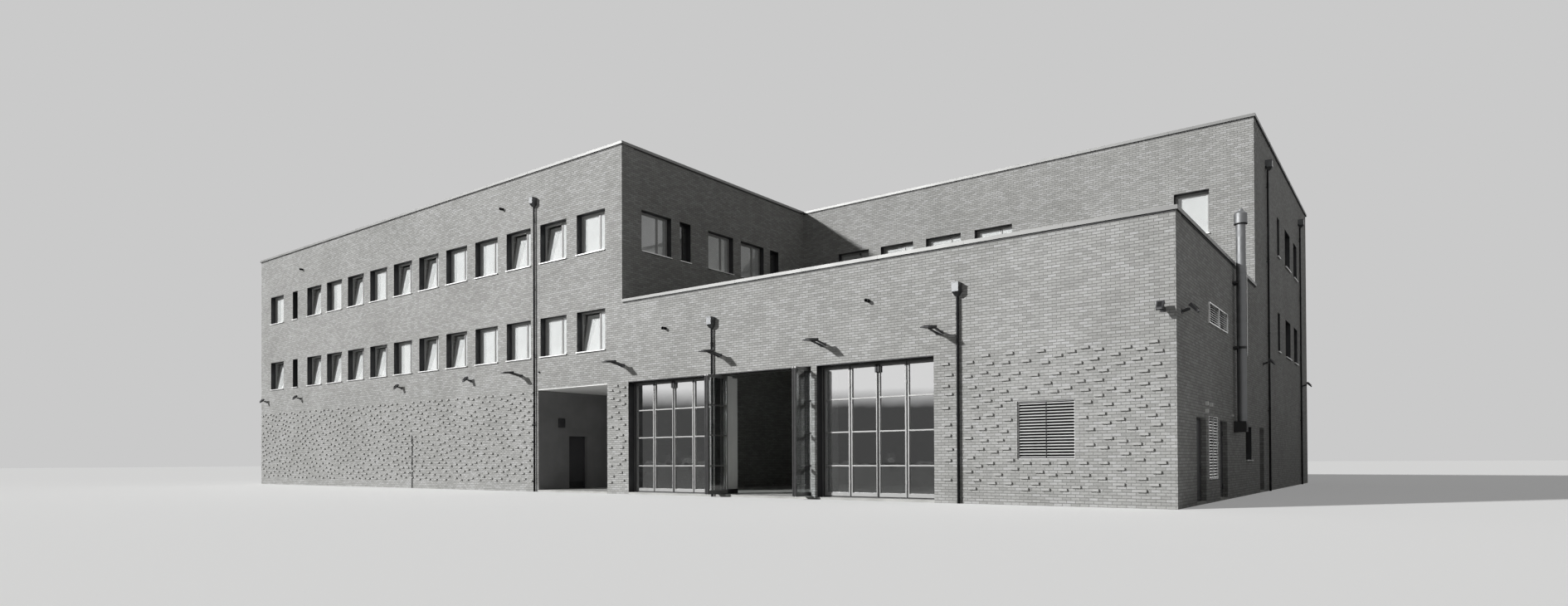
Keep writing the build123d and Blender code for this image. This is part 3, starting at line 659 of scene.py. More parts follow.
# The same paint in mid grey, on the porch's walls; as a sheet over the porch's brick jamb it is painted shade
GREY_PAINT_AND_PAINTED_SHADE = Mottled("mineral paint on render, grey", "#7d7d7d", 0.85, pale="#848484", dark="#757575", spot=0.5,
                     grain=0.006, relief=0.0006)
# Woven cloth coated white: an even face that takes the sun without a gleam
BLIND_CLOTH = Mottled("coated blind cloth, white", "#dcdcdb", 0.75, pale="#e0e0df", dark="#d6d6d5", spot=0.3,
                      grain=0.002, relief=0.0002)
# Hot-dipped steel painted dark: half matt, slightly uneven from the zinc under it. The same dark also stands as
# painted shade: strips under the capping's drip, sheets on the gates' jambs and a ring under the flue's cowl
DARK_STEEL_AND_PAINTED_SHADE = Mottled("galvanised steel angle, painted dark", "#2b2b2c", 0.55, 0.2, pale="#323233", dark="#242425",
                     spot=0.2, grain=0.01, relief=0.0003)
# Washed river gravel: mixed greys, each stone with its own tone
ROOF_GRAVEL = Gravel("washed roof gravel", "#9b9a97", 0.9)


@dataclass(frozen=True)
class Studio:
    """The camera of the photograph, the floor, the sky and the lamp.

    Fields: eye is the camera's place, yaw, pitch and roll its turn in degrees, lens its length in mm on its sensor's
    width, shift its shift, reach how far it sees, sun the way the light travels, spread the lamp's angle in degrees,
    strength the lamp's, sky the ambient light's, backdrop what the camera sees behind, horizon the heights between
    which what glass and metal mirror turns from dusk to bright, dusk how bright it is below, extent the floor's
    length, ground the floor's colour, low_ground its colour in a mirror, lift what lightens it for the camera.
    """

    eye: Triple = (16.481, -18.660, 0.6505)
    yaw: float = 35.774
    pitch: float = 0.458
    roll: float = -0.281
    lens: float = 19.4194
    sensor: float = 36.0
    shift: Span = (-0.02294, 0.09622)
    reach: float = 500.0
    sun: Triple = (0.558, 0.739, -0.378)
    spread: float = 3.0
    strength: float = 4.3
    sky: float = 0.09
    backdrop: str = "#cacaca"
    horizon: Span = (0.062, 0.085)
    dusk: float = 0.07
    extent: float = 400.0
    ground: str = "#d9d9d8"
    low_ground: str = "#4c4c4b"
    lift: float = 0.225

    def build(self) -> None:
        """Sets up everything round the building."""
        self.place_camera()
        self.lay_floor()
        self.hang_lamp()
        self.light_sky()
        bpy.context.scene.view_settings.view_transform = "Standard"

    def place_camera(self) -> None:
        """Puts the camera where the photograph was taken."""
        yaw, pitch, roll = (math.radians(a) for a in (self.yaw, self.pitch, self.roll))
        ahead = Vector((-math.sin(yaw) * math.cos(pitch), math.cos(yaw) * math.cos(pitch), math.sin(pitch)))
        level = Vector((math.cos(yaw), math.sin(yaw), 0))
        up = level.cross(ahead)
        right = math.cos(roll) * level + math.sin(roll) * up
        top = -math.sin(roll) * level + math.cos(roll) * up
        data = bpy.data.cameras.new("camera")
        data.lens, data.sensor_width, data.sensor_fit = self.lens, self.sensor, "HORIZONTAL"
        data.shift_x, data.shift_y = self.shift
        data.clip_end = self.reach
        camera = bpy.data.objects.new("camera", data)
        camera.matrix_world = Matrix.Translation(self.eye) @ Matrix((right, top, -ahead)).transposed().to_4x4()
        bpy.context.scene.collection.objects.link(camera)
        bpy.context.scene.camera = camera

    def lay_floor(self) -> None:
        """Lays a pale matt floor that keeps the building's shadow and looks dark in the glass."""
        Bench.hold()
        bpy.ops.mesh.primitive_plane_add(size=self.extent)
        floor = bpy.context.object
        floor.name = "floor"
        material = bpy.data.materials.new("pale floor")
        tree = blank(material)
        matt = add_node(tree, "BsdfDiffuse", values={"Color": linear(self.ground)})
        dark = add_node(tree, "BsdfDiffuse", values={"Color": linear(self.low_ground)})
        ray = add_node(tree, "LightPath")
        seen = add_node(tree, "MixShader", links={0: self.mirrored(tree, ray), 1: matt, 2: dark})
        lift = add_node(tree, "Math", {"operation": "MULTIPLY"}, {1: self.lift}, {0: ray.outputs["Is Camera Ray"]})
        glow = add_node(tree, "Emission", links={"Strength": lift})
        both = add_node(tree, "AddShader", links={0: seen, 1: glow})
        add_node(tree, "OutputMaterial", links={"Surface": both})
        floor.data.materials.append(material)

    @staticmethod
    def mirrored(tree: Tree, ray: bpy.types.Node) -> bpy.types.Node:
        """Tells rays that a surface mirrors from those that pass through glass, which count as glossy too.

        Args:
            tree: the node tree.
            ray: its Light Path node.

        Returns:
            A node that gives one for a mirrored ray, else zero.
        """
        return add_node(tree, "Math", {"operation": "SUBTRACT", "use_clamp": True},
                        links={0: ray.outputs["Is Glossy Ray"], 1: ray.outputs["Is Transmission Ray"]})

    def hang_lamp(self) -> None:
        """Hangs the soft main lamp."""
        lamp = bpy.data.lights.new("main lamp", "SUN")
        lamp.energy, lamp.angle = self.strength, math.radians(self.spread)
        hung = bpy.data.objects.new("main lamp", lamp)
        hung.matrix_world = Vector(self.sun).to_track_quat("-Z", "Y").to_matrix().to_4x4()
        bpy.context.scene.collection.objects.link(hung)

    def light_sky(self) -> None:
        """Sets the even light of the sky, the backdrop, and what metal and glass mirror."""
        world = bpy.data.worlds.new("studio")
        bpy.context.scene.world = world
        tree = blank(world)
        white = (1, 1, 1, 1)
        ray = add_node(tree, "LightPath")
        even = add_node(tree, "Background", values={"Color": white, "Strength": self.sky})
        back = add_node(tree, "Background", values={"Color": linear(self.backdrop), "Strength": 1.0})
        place = add_node(tree, "TexCoord")
        axes = add_node(tree, "SeparateXYZ", links={0: place.outputs["Generated"]})
        rise = add_node(tree, "MapRange", values={"From Min": self.horizon[0], "From Max": self.horizon[1],
                                                  "To Min": self.dusk, "To Max": 1.0},
                        links={"Value": axes.outputs["Z"]})
        bright = add_node(tree, "Background", values={"Color": white}, links={"Strength": rise})
        seen = add_node(tree, "MixShader", links={0: ray.outputs["Is Camera Ray"], 1: even, 2: back})
        both = add_node(tree, "MixShader", links={0: self.mirrored(tree, ray), 1: seen, 2: bright})
        add_node(tree, "OutputWorld", links={"Surface": both})


@dataclass(frozen=True)
class ReliefBricks:
    """The bricks that stand out of the ground storey's wall in an irregular scatter.

    Fields: brick is one brick's length, projection and height, root how far it reaches into the wall, worn the bevel
    of its face, low and high the first and last course, density how many stand out in a square metre, apart the
    least distance between two that are 0, 1, 2 and 3 courses apart, clear the room kept beside and above a hole,
    louvre and pipe the holes that the louvre and the downpipe make, seed the scatter's.
    """

    brick: Triple = (0.119, 0.028, 0.0355)
    root: float = 0.004
    worn: float = 0.0025
    low: int = 5
    high: int = 53
    density: float = 27.0
    apart: tuple[float, ...] = (0.24, 0.17, 0.13, 0.05)
    clear: Span = (0.06, 0.02)
    louvre: tuple[Span, Span] = ((8.36, 9.28), (0.61, 1.53))
    pipe: tuple[Span, Span] = ((7.40, 7.57), (0.0, 3.0))
    seed: int = 7

    def fields(self) -> list[tuple[WallPlane, Span, list[tuple[Span, Span]]]]:
        """Lists the stretches of wall with such bricks.

        Returns:
            Each stretch's wall, its span and the holes in it.
        """
        return [
            (Face.FRONT.value, (0.03, 14.22), []),
            (Face.FRONT.value, (16.70, 17.25), []),
            (Face.HALL.value, (7.20, 10.50), [self.louvre, self.pipe]),
        ]

    def blocked(self, x: float, z: float, holes: Sequence[tuple[Span, Span]]) -> bool:
        """Tells whether a brick would touch a hole.

        Args:
            x, z: the brick's place.
            holes: the holes' spans along the wall and in height.

        Returns:
            True where it would.
        """
        beside, above = self.clear
        return any(a - beside < x < b + beside and low - above < z < top + above for (a, b), (low, top) in holes)

    def places(self) -> list[Matrix]:
        """Scatters the bricks, clear of each other and off each other's ends.

        Returns:
            Where they stand.
        """
        rng = random.Random(self.seed)
        half = self.brick[0] / 2
        found = []
        for plane, (start, end), holes in self.fields():
            taken: list[tuple[int, float]] = []
            slots = [(c, q) for c in range(self.low, self.high) for q in range(int((end - start) / BRICK_PITCH * 4))]
            rng.shuffle(slots)
            wanted = int((end - start) * (self.high - self.low) * COURSE * self.density)
            for c, q in slots:
                if len(taken) >= wanted:
                    break
                x, z = start + q * BRICK_PITCH / 4 + half, c * COURSE
                if x + half > end or self.blocked(x, z, holes):
                    continue
                if any(abs(c - other) < len(self.apart) and abs(x - at) < self.apart[abs(c - other)]
                       for other, at in taken):
                    continue
                taken.append((c, x))
                found.append(plane.at(x, 0, z + COURSE / 2))
        return found

    def build(self) -> None:
        """Models one brick with worn edges and sets it in all its places."""
        length, out, height = self.brick
        model = Bench.block((-length / 2, length / 2), (-out, self.root), (-height / 2, height / 2))
        with Bench.shaping(model):
            Bench.pick(model, Way.OUT)
            bpy.ops.mesh.bevel(offset=self.worn, segments=1, affect="EDGES")
            Bench.pick(model, Way.IN)
            bpy.ops.mesh.delete(type="ONLY_FACE")
        fit(Bench.copies(model, self.places()), "relief_bricks", RELIEF_BRICK)


@dataclass(frozen=True)
class Cappings:
    """Cover strips on the parapets' sheet capping, and a dark strip under its drip edge that is painted shadow.

    Fields: overhang and height are the sheet's, spacing is the distance between strips, strip their width, lap how
    far they stand over the sheet, shadow_strip the height and thickness of the dark strip of painted shadow.
    """

    overhang: float = 0.03
    height: float = 0.055
    spacing: float = 1.5
    strip: float = 0.03
    lap: float = 0.0025
    shadow_strip: Span = (0.02, 0.012)

    def runs(self) -> list[tuple[WallPlane, Span, float]]:
        """Lists the runs of capping.

        Returns:
            Each run's wall, its span and the height of its underside.
        """
        main = [(Face.FRONT.value, (-0.02, 17.15)), (Face.SIDE.value, (0.29, 6.09)),
                (Face.COURT.value, (-0.25, 10.595)), (Face.END.value, (6.42, 14.0))]
        runs = [(plane, span, MAIN_TOP) for plane, span in main]
        runs += [(plane.behind(), span, MAIN_TOP) for plane, span in main]
        return runs + [(Face.HALL.value, (0.01, 10.595), HALL_TOP), (Face.END.value, (0.29, 6.12), HALL_TOP)]

    def build(self) -> None:
        """Lays one strip, bent over the sheet, at every joint, and a dark strip of painted shadow under every run."""
        out = self.overhang + self.lap
        model = Bench.block((-self.strip / 2, self.strip / 2), (-out, WALL + out),
                            (-self.lap, self.height + self.lap), 0.001)
        places = []
        for plane, (start, end), base in self.runs():
            count = max(1, round((end - start) / self.spacing))
            places += [plane.at(start + (end - start) * k / count, 0, base) for k in range(1, count)]
        fit(Bench.copies(model, places), "capping_strips", CAPPING_SHEET)
        # Dark strips under the drip edges: painted shadow
        shadow_strips = []
        drop, thick = self.shadow_strip
        for plane, (start, end), base in self.runs():
            strip = Bench.block((start + self.overhang, end - self.overhang), (-thick, 0.002), (base - drop, base),
                                0.002)
            shadow_strips.append(Bench.moved(strip, plane.at()))
        fit(shadow_strips, "capping_painted_shadow", DARK_STEEL_AND_PAINTED_SHADE)


@dataclass(frozen=True)
class Opening:
    """A window opening in its wall's frame, with what its sash and its blind do.

    Fields: plane is the wall, x and z the opening's limits, divided tells of a side light, tilted of a sash that
    leans inwards, blind of a lowered blind.
    """

    plane: WallPlane
    x: Span
    z: Span
    divided: bool = True
    tilted: bool = False
    blind: bool = True

    @property
    def width(self) -> float:
        """The opening's width in metres."""
        return self.x[1] - self.x[0]


@dataclass(frozen=True)
class Windows:
    """Frames, sashes, panes, blinds and sills of every window.

    Fields: reveal is how far the frame sits behind the wall's face, frame and depth its members' width and depth,
    member the depth of the mullion and of the sash, mullion the post's width, side_light the share of the narrow
    light, sash the width of a sash member, setback how far a fixed light and a sash sit behind the frame's face,
    glass and cloth the pane's and the blind's places behind that, edge every bevel, tilt how far a leaning sash turns
    in degrees, sills and height place the rows, first and pitch the front's windows, narrow is the width of the front's
    one slit and wide the others', slit the width under which a window's frame is painted dark as the shade that makes
    it a slit, shade_lining the thickness of the dark sheet that paints the shade in the reveals, tilted_low and
    tilted_high are the front's leaning sashes.
    """

    reveal: float = 0.13
    frame: float = 0.032
    depth: float = 0.04
    member: float = 0.026
    mullion: float = 0.03
    side_light: float = 0.345
    sash: float = 0.02
    setback: Span = (0.003, 0.008)
    glass: Span = (0.005, 0.013)
    cloth: Span = (0.016, 0.018)
    edge: float = 0.0015
    tilt: float = 8.4
    sills: Span = (2.95, 5.01)
    height: float = 0.86
    first: float = 1.160
    pitch: float = 1.25
    wide: float = 0.905
    narrow: float = 0.335
    slit: float = 0.4
    shade_lining: float = 0.003
    tilted_low: tuple[int, ...] = (0, 2, 3, 4, 5, 7, 8, 12)
    tilted_high: tuple[int, ...] = (2, 4, 6, 7, 10, 11)

    def rows(self) -> dict[str, list[Opening]]:
        """Lists the openings of each wall.

        Returns:
            The openings by the name of the pane node.
        """
        low, high = ((z, z + self.height) for z in self.sills)
        front = []
        for k in range(13):
            half, middle = (self.narrow if k == 1 else self.wide) / 2, self.first + self.pitch * k
            for z, tilted in ((low, self.tilted_low), (high, self.tilted_high)):
                front.append(Opening(Face.FRONT.value, (middle - half, middle + half), z, k != 1, k in tilted, k != 1))
        side_spans = ((0.525, 1.375), (1.6275, 1.9625), (2.52, 3.37), (3.64, 4.49), (4.7375, 5.0725))
        side = [Opening(Face.SIDE.value, x, high, x[1] - x[0] > self.slit, False, x[1] - x[0] > self.slit)
                for x in side_spans]
        court = [Opening(Face.COURT.value, (1.1025 + self.pitch * k, 2.0075 + self.pitch * k), high)
                 for k in range(4)]
        court.append(Opening(Face.COURT.value, (9.1445, 9.7895), high, divided=False))
        end_spans = ((9.0475, 9.3825), (10.255, 11.105), (11.7275, 12.3725))
        end = [Opening(Face.END.value, x, z, x[1] - x[0] > self.slit, blind=x[1] - x[0] > self.slit)
               for z in (low, high) for x in end_spans]
        low_window = Opening(Face.END.value, (4.995, 5.6), (0.615, 1.225), blind=False)

        def turned(row: Sequence[Opening], storeys: Sequence[Span | None] = (None,)) -> list[Opening]:
            """Repeats a row at the rear with undivided frames, in its own storey or in those given."""
            return [Opening(o.plane.behind(), o.x, z or o.z, False, False, o.blind) for o in row for z in storeys]

        return {
            "front_window_glass": front,
            "rear_window_glass": turned(front),
            "court_window_glass": side + court,
            "yard_window_glass": turned(side + court, (low, high)),
            "end_window_glass": [low_window] + end + turned(end),
        }

    def post(self, o: Opening) -> float:
        """Returns the place of a divided window's mullion along the wall."""
        return o.x[1] - self.side_light * o.width

    def lights(self, o: Opening) -> list[tuple[Span, bool]]:
        """Divides a window into its lights between the frame members.

        Args:
            o: the opening.

        Returns:
            Spans along the wall, each with True for the sash.
        """
        start, end = o.x[0] + self.frame, o.x[1] - self.frame
        if not o.divided:
            return [((start, end), True)]
        return [((start, self.post(o) - self.mullion / 2), True), ((self.post(o) + self.mullion / 2, end), False)]

    def leaning(self, o: Opening, sash: bool) -> Matrix:
        """Turns a sash about its bottom edge.

        Args:
            o: the opening.
            sash: whether this light is the sash.

        Returns:
            The turn, none where the sash is shut.
        """
        if not (o.tilted and sash):
            return Matrix.Identity(4)
        pivot = Vector((0, self.reveal + self.depth, o.z[0] + self.frame))
        turn = Matrix.Rotation(-math.radians(self.tilt), 4, "X")
        return Matrix.Translation(pivot) @ turn @ Matrix.Translation(-pivot)

    def surround(self, o: Opening) -> list[Part]:
        """Makes a window's frame, with its mullion.

        Args:
            o: the opening.

        Returns:
            The frame's parts, in place.
        """
        parts = [Bench.ring(o.x, (self.reveal, self.reveal + self.depth), o.z, self.frame, self.edge)]
        if o.divided:
            x = (self.post(o) - self.mullion / 2, self.post(o) + self.mullion / 2)
            parts.append(Bench.block(x, (self.reveal, self.reveal + self.member),
                                     (o.z[0] + self.frame, o.z[1] - self.frame), self.edge))
        return [Bench.moved(p, o.plane.at()) for p in parts]

    def light(self, x: Span, z: Span, sash: bool) -> list[Part]:
        """Makes one light: its sash ring or glazing bead, its pane and the blind close behind.

        Args:
            x, z: the light's limits.
            sash: whether it is the sash or the fixed light.

        Returns:
            Ring, pane and blind.
        """
        y = self.reveal + self.setback[sash]
        width = self.sash if sash else self.sash / 2

        def sheet(lap: float, place: Span) -> Part:
            """Makes a sheet that laps under the ring, at a place behind its face."""
            return Bench.block((x[0] + lap, x[1] - lap), (y + place[0], y + place[1]), (z[0] + lap, z[1] - lap))

        ring = Bench.ring(x, (y, y + self.member), z, width, self.edge)
        return [ring, sheet(width / 2, self.glass), sheet(width - 0.001, self.cloth)]

    def build(self) -> None:
        """Builds all windows, wall by wall."""
        pale: list[Part] = []
        # Thin dark sheets round every reveal: painted shade, joined below by the dark frames of narrow windows
        dark = [Bench.moved(Bench.ring(o.x, (0.004, self.reveal), o.z, self.shade_lining), o.plane.at())
                for row in self.rows().values() for o in row]
        cloths = []
        for node, row in self.rows().items():
            panes = []
            for o in row:
                # A window narrower than slit gets dark frames and rings: painted shade that makes it a slit
                coat = dark if o.width < self.slit else pale
                coat += self.surround(o)
                for x, sash in self.lights(o):
                    made = self.light(x, (o.z[0] + self.frame, o.z[1] - self.frame), sash)
                    ring, pane, cloth = (Bench.moved(p, o.plane.at() @ self.leaning(o, sash)) for p in made)
                    coat.append(ring)
                    panes.append(pane)
                    if o.blind:
                        cloths.append(cloth)
                    else:
                        bpy.data.objects.remove(cloth)
            fit(panes, node.replace("window_glass", "panes"), WINDOW_PANE, replaces=[node])
        fit(pale, "pale_window_frames", FRAME_COAT, replaces=["window_frames"])
        fit(dark, "painted_shade_window_frames", DARK_FRAME_AND_PAINTED_SHADE)
        fit(cloths, "window_blinds", BLIND_CLOTH)
        self.build_stays()
        self.build_sills()

    def build_stays(self) -> None:
        """Sets a small dark stay at the top of the mullion in each wide window of the court."""
        model = Bench.block((-0.016, 0.016), (-0.012, 0.004), (-0.05, 0.0), 0.003)
        row = [o for o in self.rows()["court_window_glass"] if o.plane is Face.COURT.value and o.width > 0.7]
        places = [o.plane.at(self.post(o) - 0.02, self.reveal, o.z[1] - self.frame) for o in row]
        fit(Bench.copies(model, places), "window_stays", DARK_FRAME_AND_PAINTED_SHADE)

    def build_sills(self) -> None:
        """Folds a sheet sill with end caps and a drip edge for each window, over a dark joint of sealant and painted
        shadow.
        """
        trays, joints = [], []
        for o in (o for row in self.rows().values() for o in row):
            (start, end), base = o.x, o.z[0]
            tray = Bench.block((start - 0.01, end + 0.01), (-0.032, self.reveal), (base, base + 0.02))
            Bench.press(tray, Way.UP, inset=0.003, move=(0, 0, -0.006))
            Bench.press(tray, Way.OUT, move=(0, 0, -0.006))
            trays.append(Bench.moved(tray, o.plane.at()))
            # The dark strip is partly the sealant joint and partly the sill's painted shadow on the wall
            joint = Bench.block((start - 0.004, end + 0.004), (-0.004, 0.002), (base - 0.014, base), 0.001)
            joints.append(Bench.moved(joint, o.plane.at()))
        fit(trays, "folded_sills", SILL_SHEET, replaces=["window_sills"])
        fit(joints, "sill_joints_and_painted_shadow", RUBBER_AND_PAINTED_SHADE)


@dataclass(frozen=True)
class Rainwater:
    """Round downpipes under hopper heads, and overflow spouts.

    Fields: radius is the pipe's, axis its distance from the wall, hopper the head's width, depth and height, taper
    the height of its funnel, wall the thickness of the sheet, hollow how deep the head is open, rim the overhang,
    height and width of its rim, sleeve the distance between the pipe's sockets, first how far the first one is under
    the head, socket a socket's height and clamp its clamp's, spout the overflow's radius and length.
    """

    radius: float = 0.021
    axis: float = 0.038
    hopper: Triple = (0.11, 0.125, 0.14)
    taper: float = 0.065
    wall: float = 0.004
    hollow: float = 0.05
    rim: Triple = (0.004, 0.012, 0.008)
    sleeve: float = 1.5
    first: float = 0.3
    socket: float = 0.05
    clamp: float = 0.015
    spout: Span = (0.03, 0.09)

    def pipes(self) -> list[tuple[WallPlane, float, float]]:
        """Lists the downpipes.

        Returns:
            Each pipe's wall, its place along it and the height of its hopper's rim.
        """
        main = [(Face.FRONT.value, 14.285, 6.5), (Face.END.value, 7.53, 6.64), (Face.END.value, 12.75, 6.64)]
        return main + [(p.behind(), x, z) for p, x, z in main] + [
            (Face.HALL.value, 2.485, 3.305), (Face.HALL.value, 7.485, 3.305)]

    def head(self, plane: WallPlane, at: float, top: float) -> list[Part]:
        """Models one hopper head with its funnel and rim.

        Args:
            plane: its wall.
            at: its place along the wall.
            top: the height of its rim.

        Returns:
            Its parts, in place.
        """
        width, depth, height = self.hopper
        bottom = top - height - self.taper
        box = Bench.block((at - width / 2, at + width / 2), (-depth, 0), (bottom, top))
        with Bench.shaping(box):
            bpy.ops.mesh.select_all(action="SELECT")
            bpy.ops.mesh.bisect(plane_co=(0, 0, top - height), plane_no=(0, 0, 1))
            Bench.pick(box, Way.DOWN)
            bpy.ops.transform.resize(value=(2.2 * self.radius / width, 2.2 * self.radius / depth, 1),
                                     center_override=(at, -0.04, bottom))
        Bench.press(box, Way.UP, inset=self.wall, draw=(0, 0, -self.hollow))
        over, rise, broad = self.rim
        half = width / 2 + over
        rim = Bench.ring((at - half, at + half), (-rise, 0.0), (0, depth + over), broad)
        Bench.moved(rim, Matrix.Translation((0, 0, top)) @ Matrix.Rotation(math.radians(90), 4, "X"))
        return [Bench.moved(p, plane.at()) for p in (box, rim)]

    def pipe(self, plane: WallPlane, at: float, top: float) -> list[Part]:
        """Models one downpipe with its sockets, clamps and the bracket under its head.

        Args:
            plane: its wall.
            at: its place along the wall.
            top: the height of the hopper's rim.

        Returns:
            Its parts, in place.
        """
        y = -self.axis
        left, ledge = at - self.hopper[0] / 2, top - self.hopper[2]
        bottom = ledge - self.taper
        parts = [Bench.round_bar((at, y, 0.0), (at, y, bottom + 0.01), self.radius),
                 Bench.block((left - 0.02, left + 0.01), (-0.03, 0), (ledge - 0.015, ledge + 0.015), 0.003)]
        for k in range(int(bottom // self.sleeve)):
            z = bottom - self.first - k * self.sleeve
            if z > self.first:
                low, high = z - 0.02 - self.clamp, z - 0.02
                parts.append(Bench.round_bar((at, y, z), (at, y, z + self.socket), self.radius + 0.003))
                parts.append(Bench.round_bar((at, y, low), (at, y, high), self.radius + 0.004))
                parts.append(Bench.block((at - 0.008, at + 0.008), (y, 0.0), (low, high), 0.001))
        return [Bench.moved(p, plane.at()) for p in parts]

    def spouts(self) -> list[Part]:
        """Makes the overflow pipes, each a short open tube.

        Returns:
            The pipes, in place.
        """
        front = [(Face.FRONT.value, 2.92), (Face.FRONT.value, 13.08)]
        places = [(p, x, MAIN_ROOF) for p, x in front] + [(p.behind(), x, MAIN_ROOF) for p, x in front]
        places += [(Face.HALL.value, x, HALL_ROOF) for x in (1.245, 5.89)]
        radius, length = self.spout
        model = Bench.round_bar((0, 0, 0), (0, -length, 0), radius, 16)
        Bench.press(model, Way.OUT, inset=self.wall, draw=(0, length - 0.01, 0))
        return Bench.copies(model, [p.at(x, 0, z + 0.04) for p, x, z in places])

    def build(self) -> None:
        """Builds all pipes and spouts."""
        heads = [part for run in self.pipes() for part in self.head(*run)]
        fit(heads, "hopper_heads", ZINC_SHEET)
        pipes = [part for run in self.pipes() for part in self.pipe(*run)]
        fit(pipes, "rain_pipes", RAIN_SHEET, replaces=["downpipes"])
        fit(self.spouts(), "open_spouts", RAIN_SHEET, replaces=["overflow_spouts"])


@dataclass(frozen=True)
class Flue:
    """The stainless flue on the end wall, with its cowl, foot, brackets and the conductor beside it.

    Fields: at is its place along the wall, out its axis' distance from the wall, radius the tube's, bottom and top
    its ends, sides how many faces run round it, bands the heights of its bands, brackets those of its brackets, of
    which the lower has a ring, drum the cowl's radius, shoulder the steps of its shoulder as inset and rise, conductor
    the ends of the conductor and clips the heights of its clips.
    """

    at: float = 3.96
    out: float = 0.116
    radius: float = 0.074
    bottom: float = 1.27
    top: float = 4.545
    sides: int = 40
    bands: Triple = (1.32, 2.92, 3.72)
    brackets: Span = (2.47, 3.55)
    drum: float = 0.102
    shoulder: tuple[Span, ...] = ((0.01, 0.014), (0.02, 0.02), (0.026, 0.014), (0.006, 0.03), (0.01, 0.012))
    conductor: Span = (2.35, 3.84)
    clips: tuple[float, ...] = (2.4, 2.9, 3.4, 3.8)

    def tube(self, low: float, high: float, radius: float) -> Part:
        """Makes a length of tube or a ring round it, between two heights."""
        return Bench.round_bar((self.at, -self.out, low), (self.at, -self.out, high), radius, self.sides)

    def build(self) -> None:
        """Models tube, bands, cowl, foot, brackets, a dark ring of painted shade under the cowl, and conductor."""
        x, y = self.at, -self.out
        parts = [self.tube(self.bottom, self.top + 0.02, self.radius)]
        parts += [self.tube(z, z + 0.02, self.radius + 0.003) for z in self.bands]
        fit(parts + [self.cowl()], "flue_tube", FLUE_STEEL, Face.END, replaces=["flue"])
        foot = self.bottom - 0.18
        dark = [Bench.block((x - 0.09, x + 0.09), (y - self.radius, 0), (foot, self.bottom), 0.004),
                Bench.block((x - 0.06, x + 0.06), (y - self.radius - 0.006, y),
                            (self.bottom - 0.15, self.bottom - 0.03), 0.003),
                self.tube(self.brackets[0], self.brackets[0] + 0.04, self.radius + 0.005)]
        dark += [Bench.block((x - 0.1, x + 0.1), (y + 0.03, 0), (z, z + 0.04), 0.003) for z in self.brackets]
        # A dark ring at the cowl's foot: painted shade under its skirt
        dark.append(self.tube(self.top - 0.002, self.top + 0.006, self.drum + 0.004))
        fit(dark, "flue_brackets_and_cowl_shade", DARK_STEEL_AND_PAINTED_SHADE, Face.END)
        side, front = x + 0.016, y - self.radius - 0.009
        low, high = self.conductor
        line = [Bench.round_bar((side, front, low), (side, front, high), 0.006, 12)]
        line += [Bench.block((side - 0.009, side + 0.009), (front - 0.008, front + 0.012), (z, z + 0.012), 0.002)
                 for z in self.clips]
        fit(line, "lightning_conductor", SILL_SHEET, Face.END)

    def cowl(self) -> Part:
        """Makes the cowl: a drum whose shoulder narrows in steps to a small cap.

        Returns:
            The cowl in the wall's frame.
        """
        drum = self.tube(self.top + 0.004, self.top + 0.165, self.drum)
        for inset, rise in self.shoulder:
            Bench.press(drum, Way.UP, inset=inset, move=(0, 0, rise))
        bpy.ops.object.shade_smooth_by_angle(angle=math.radians(50))
        return drum


